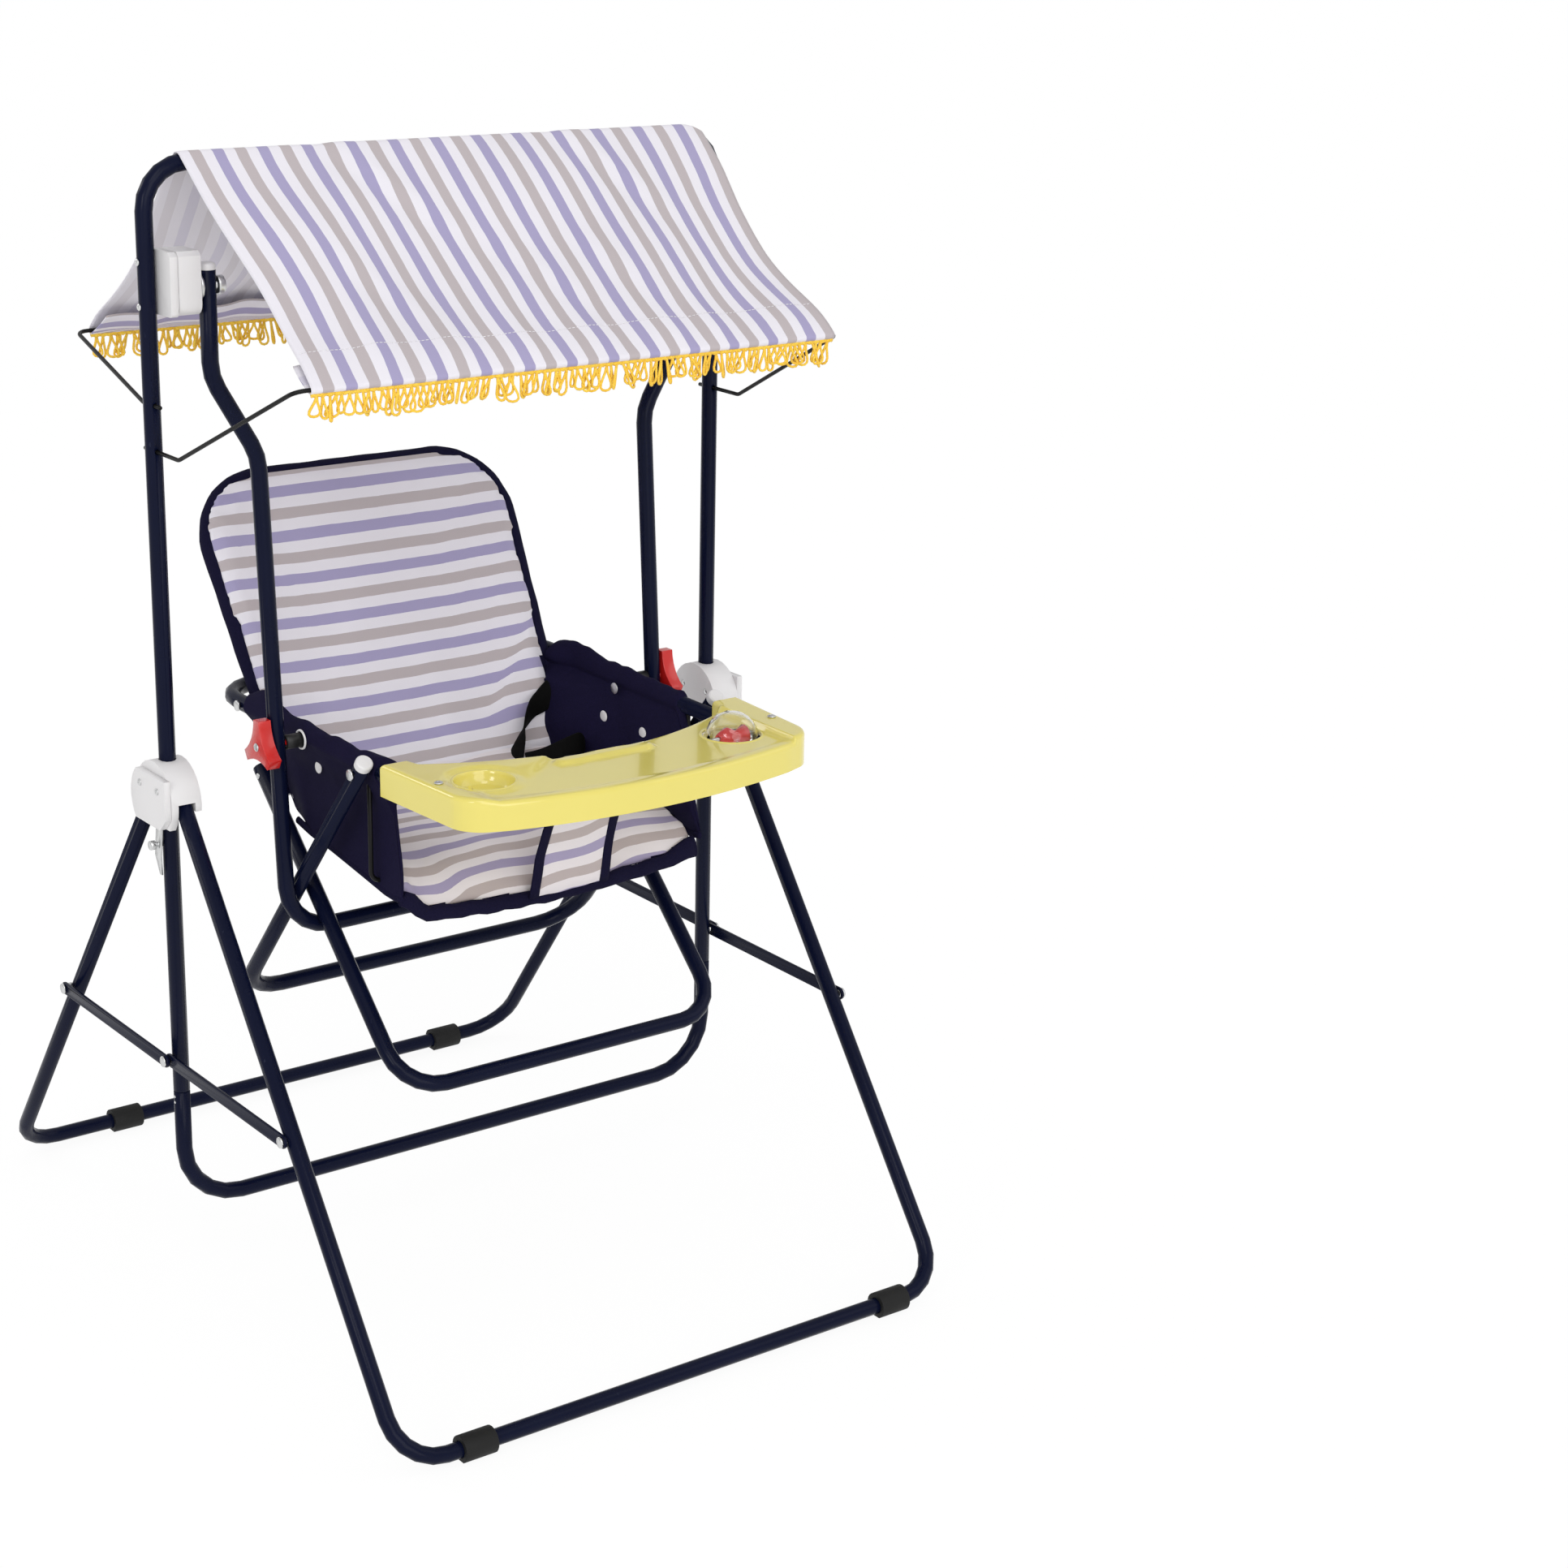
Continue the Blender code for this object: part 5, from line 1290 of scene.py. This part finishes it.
def build_fittings():
    snap = [(-0.001, 0.005)] + scaled(DOME, SNAP_RADIUS)
    snaps = (
        ("upper", -0.041, 0.569, ZINC), ("middle", -0.031, 0.538, WHITE), ("front", -0.096, 0.536, WHITE),
    )
    down = Vector((0, LEG_B_BAR[0] - LEG_B_HINGE[0], LEG_B_BAR[1] - LEG_B_HINGE[1])).normalized()
    eyelet = [(0.0, 0.0076)]
    for i in range(13):
        angle = pi * i / 12
        eyelet.append((0.0002 + 0.0014 * sin(angle), 0.0088 - 0.0011 * cos(angle)))
    eyelet.append((0.0, 0.0100))
    for side, sign in SIDES:
        outward = (sign, 0, 0)
        at = (sign * HANGER_TOP_X, PIVOT_AT[0], PIVOT_AT[1] + 0.0142)
        turned(f"hanger_plug_{side}", scaled(PLUG, TUBE), at, (0, 0, 1), WHITE, "swing")
        at = Vector((sign * LEG_B_X, *LEG_B_HINGE)) - down * 0.0142
        turned(f"seat_leg_b_cap_{side}", scaled(CAP, TUBE), at, -down, WHITE, "seat_leg_b")
        x = sign * (ARM_X + 0.004)
        at = (x, TRAY_SCREW_Y, tray_top(x, TRAY_SCREW_Y) + 0.0006)
        screw_head(f"tray_screw_{side}", at, (0, 0, 1), "swing", 0.0042)
        for label, z in (("upper", 1.030), ("lower", 0.990)):
            at = (sign * (SPAN + TUBE), 0, z)
            screw_head(f"bracket_screw_{label}_{side}", at, outward, "stand", 0.0034)
        for label, y in (("front", -0.0203), ("rear", 0.0156)):
            at = (sign * 0.3328, y, 0.5425)
            screw_head(f"hub_screw_{label}_{side}", at, outward, "hubs", 0.0034)
        ring(f"arm_eyelet_{side}", eyelet, (sign * 0.1900, *KNOB_AT), outward, WHITE, "swing")
        turned(f"snap_outer_{side}", snap, (sign * 0.1800, -0.052, 0.548), outward, WHITE, "swing")
        for label, y, z, material in snaps:
            at = (sign * panel_inner(sign, y, z), y, z)
            turned(f"snap_{label}_{side}", snap, at, (-sign, 0, 0), material, "swing")
        screw_head(f"knob_screw_{side}", (sign * 0.2374, *KNOB_AT), outward, f"knob_{side}", 0.0042)
        build_spring(side, sign)
        for label, z in (("upper", 0.2225), ("lower", 0.2165)):
            at = (sign * (SPAN + TUBE - 0.0002), 0, z)
            turned(f"splice_mark_{label}_{side}", DIMPLE, at, outward, ZINC, "stand", sides=12)


def build_spring(side, sign):
    """The small wire clip on the seat's inner leg, by the crossing."""
    down = Vector((0, LEG_A_BAR[0] - LEG_A_HINGE[0], LEG_A_BAR[1] - LEG_A_HINGE[1])).normalized()
    ahead = Vector((0, down.z, -down.y))
    middle = Vector((sign * LEG_A_X, *LEG_A_HINGE)) + down * 0.150 - ahead * (TUBE + 0.0015)
    steps = 28
    path = []
    for i in range(steps):
        angle = 2 * pi * i / steps
        path.append(middle + down * 0.0085 * cos(angle) - ahead * 0.0048 * sin(angle))
    wire = sweep(path, round_section(0.0008, 0.0008, 8), (1, 0, 0), True)
    piece(f"leg_clip_{side}", *wire, ZINC, "seat_leg_a", "zinc_steel")


# Stage


def build_stage():
    scene = bpy.context.scene
    size = 30.0
    low = -0.0005
    corners = [(-size, -size, low), (size, -size, low), (size, size, low), (-size, size, low)]
    mesh = bpy.data.meshes.new("studio_floor")
    mesh.from_pydata(corners, [], [(0, 1, 2, 3)])
    floor = bpy.data.objects.new("studio_floor", mesh)
    scene.collection.objects.link(floor)
    paint = Paint("pale_floor")
    paint.set(Base_Color=(0.95, 0.95, 0.95, 1), Roughness=0.9)
    seen = paint.node("ShaderNodeLightPath").outputs
    bounced = paint.math("MAXIMUM", seen["Is Glossy Ray"], seen["Is Transmission Ray"])
    rays = paint.math("MAXIMUM", seen["Is Camera Ray"], bounced)
    white = paint.node("ShaderNodeEmission", {"Color": (1, 1, 1, 1), "Strength": 1.02}).outputs["Emission"]
    inputs = {0: paint.math("MULTIPLY", rays, 0.9), 1: paint.shader.outputs["BSDF"], 2: white}
    mixed = paint.node("ShaderNodeMixShader", inputs).outputs["Shader"]
    paint.put(paint.tree.nodes["Material Output"].inputs["Surface"], mixed)
    mesh.materials.append(paint.made)

    world = bpy.data.worlds.new("studio")
    scene.world = world
    world.use_nodes = True
    tree = world.node_tree
    skies = (tree.nodes["Background"], tree.nodes.new("ShaderNodeBackground"))
    by_ray = tree.nodes.new("ShaderNodeMixShader")
    tree.links.new(tree.nodes.new("ShaderNodeLightPath").outputs["Is Camera Ray"], by_ray.inputs[0])
    for index, (sky, strength) in enumerate(zip(skies, (0.68, 1.0))):
        sky.inputs["Color"].default_value = (1, 1, 1, 1)
        sky.inputs["Strength"].default_value = strength
        tree.links.new(sky.outputs["Background"], by_ray.inputs[index + 1])
    tree.links.new(by_ray.outputs["Shader"], tree.nodes["World Output"].inputs["Surface"])

    def lamp(name, kind, at, power, width):
        data = bpy.data.lights.new(name, kind)
        data.energy = power
        if kind == "SUN":
            data.angle = radians(width)
        else:
            data.size = width
        obj = bpy.data.objects.new(name, data)
        obj.location = at
        obj.rotation_euler = (Vector((0, 0, 0.6)) - Vector(at)).to_track_quat("-Z", "Y").to_euler()
        scene.collection.objects.link(obj)

    lamp("key", "SUN", (-1.6, -2.6, 3.6), 0.40, 24)
    lamp("front", "SUN", (-0.6, -3.0, 1.5), 0.75, 40)
    lamp("fill", "SUN", (2.6, -1.6, 2.4), 0.25, 40)
    lamp("softbox_left", "AREA", (-2.4, -1.4, 1.6), 9, 0.7)
    lamp("softbox_rear", "AREA", (-1.8, 2.4, 2.2), 9, 0.9)
    scene.view_settings.view_transform = "Standard"


def build_camera():
    """The photograph's viewpoint."""
    azimuth, height, roll = (radians(v) for v in (-37.487, 17.943, 1.271))
    distance = 2.6236
    focal = 3719.99 / 1932  # in widths of the picture
    aim = Vector((0.0249, -0.5137, 0.62))
    away = Vector((sin(azimuth) * cos(height), -cos(azimuth) * cos(height), sin(height)))
    right = (-away).cross(Vector((0, 0, 1))).normalized()
    up = right.cross(-away)
    across = right * cos(roll) + up * sin(roll)
    upright = up * cos(roll) - right * sin(roll)
    data = bpy.data.cameras.new("camera")
    data.sensor_width = 36.0
    data.lens = 36.0 * focal
    camera = bpy.data.objects.new("camera", data)
    turn = Matrix((across, upright, away)).transposed().to_4x4()
    camera.matrix_world = Matrix.Translation(aim + away * distance) @ turn
    bpy.context.scene.collection.objects.link(camera)
    bpy.context.scene.camera = camera


build_camera()
dress_solids()
build_canopy()
build_back_pad()
build_seat_pad()
build_side_panels()
build_crotch_panel()
build_harness()
build_tray()
build_fittings()
build_stage()
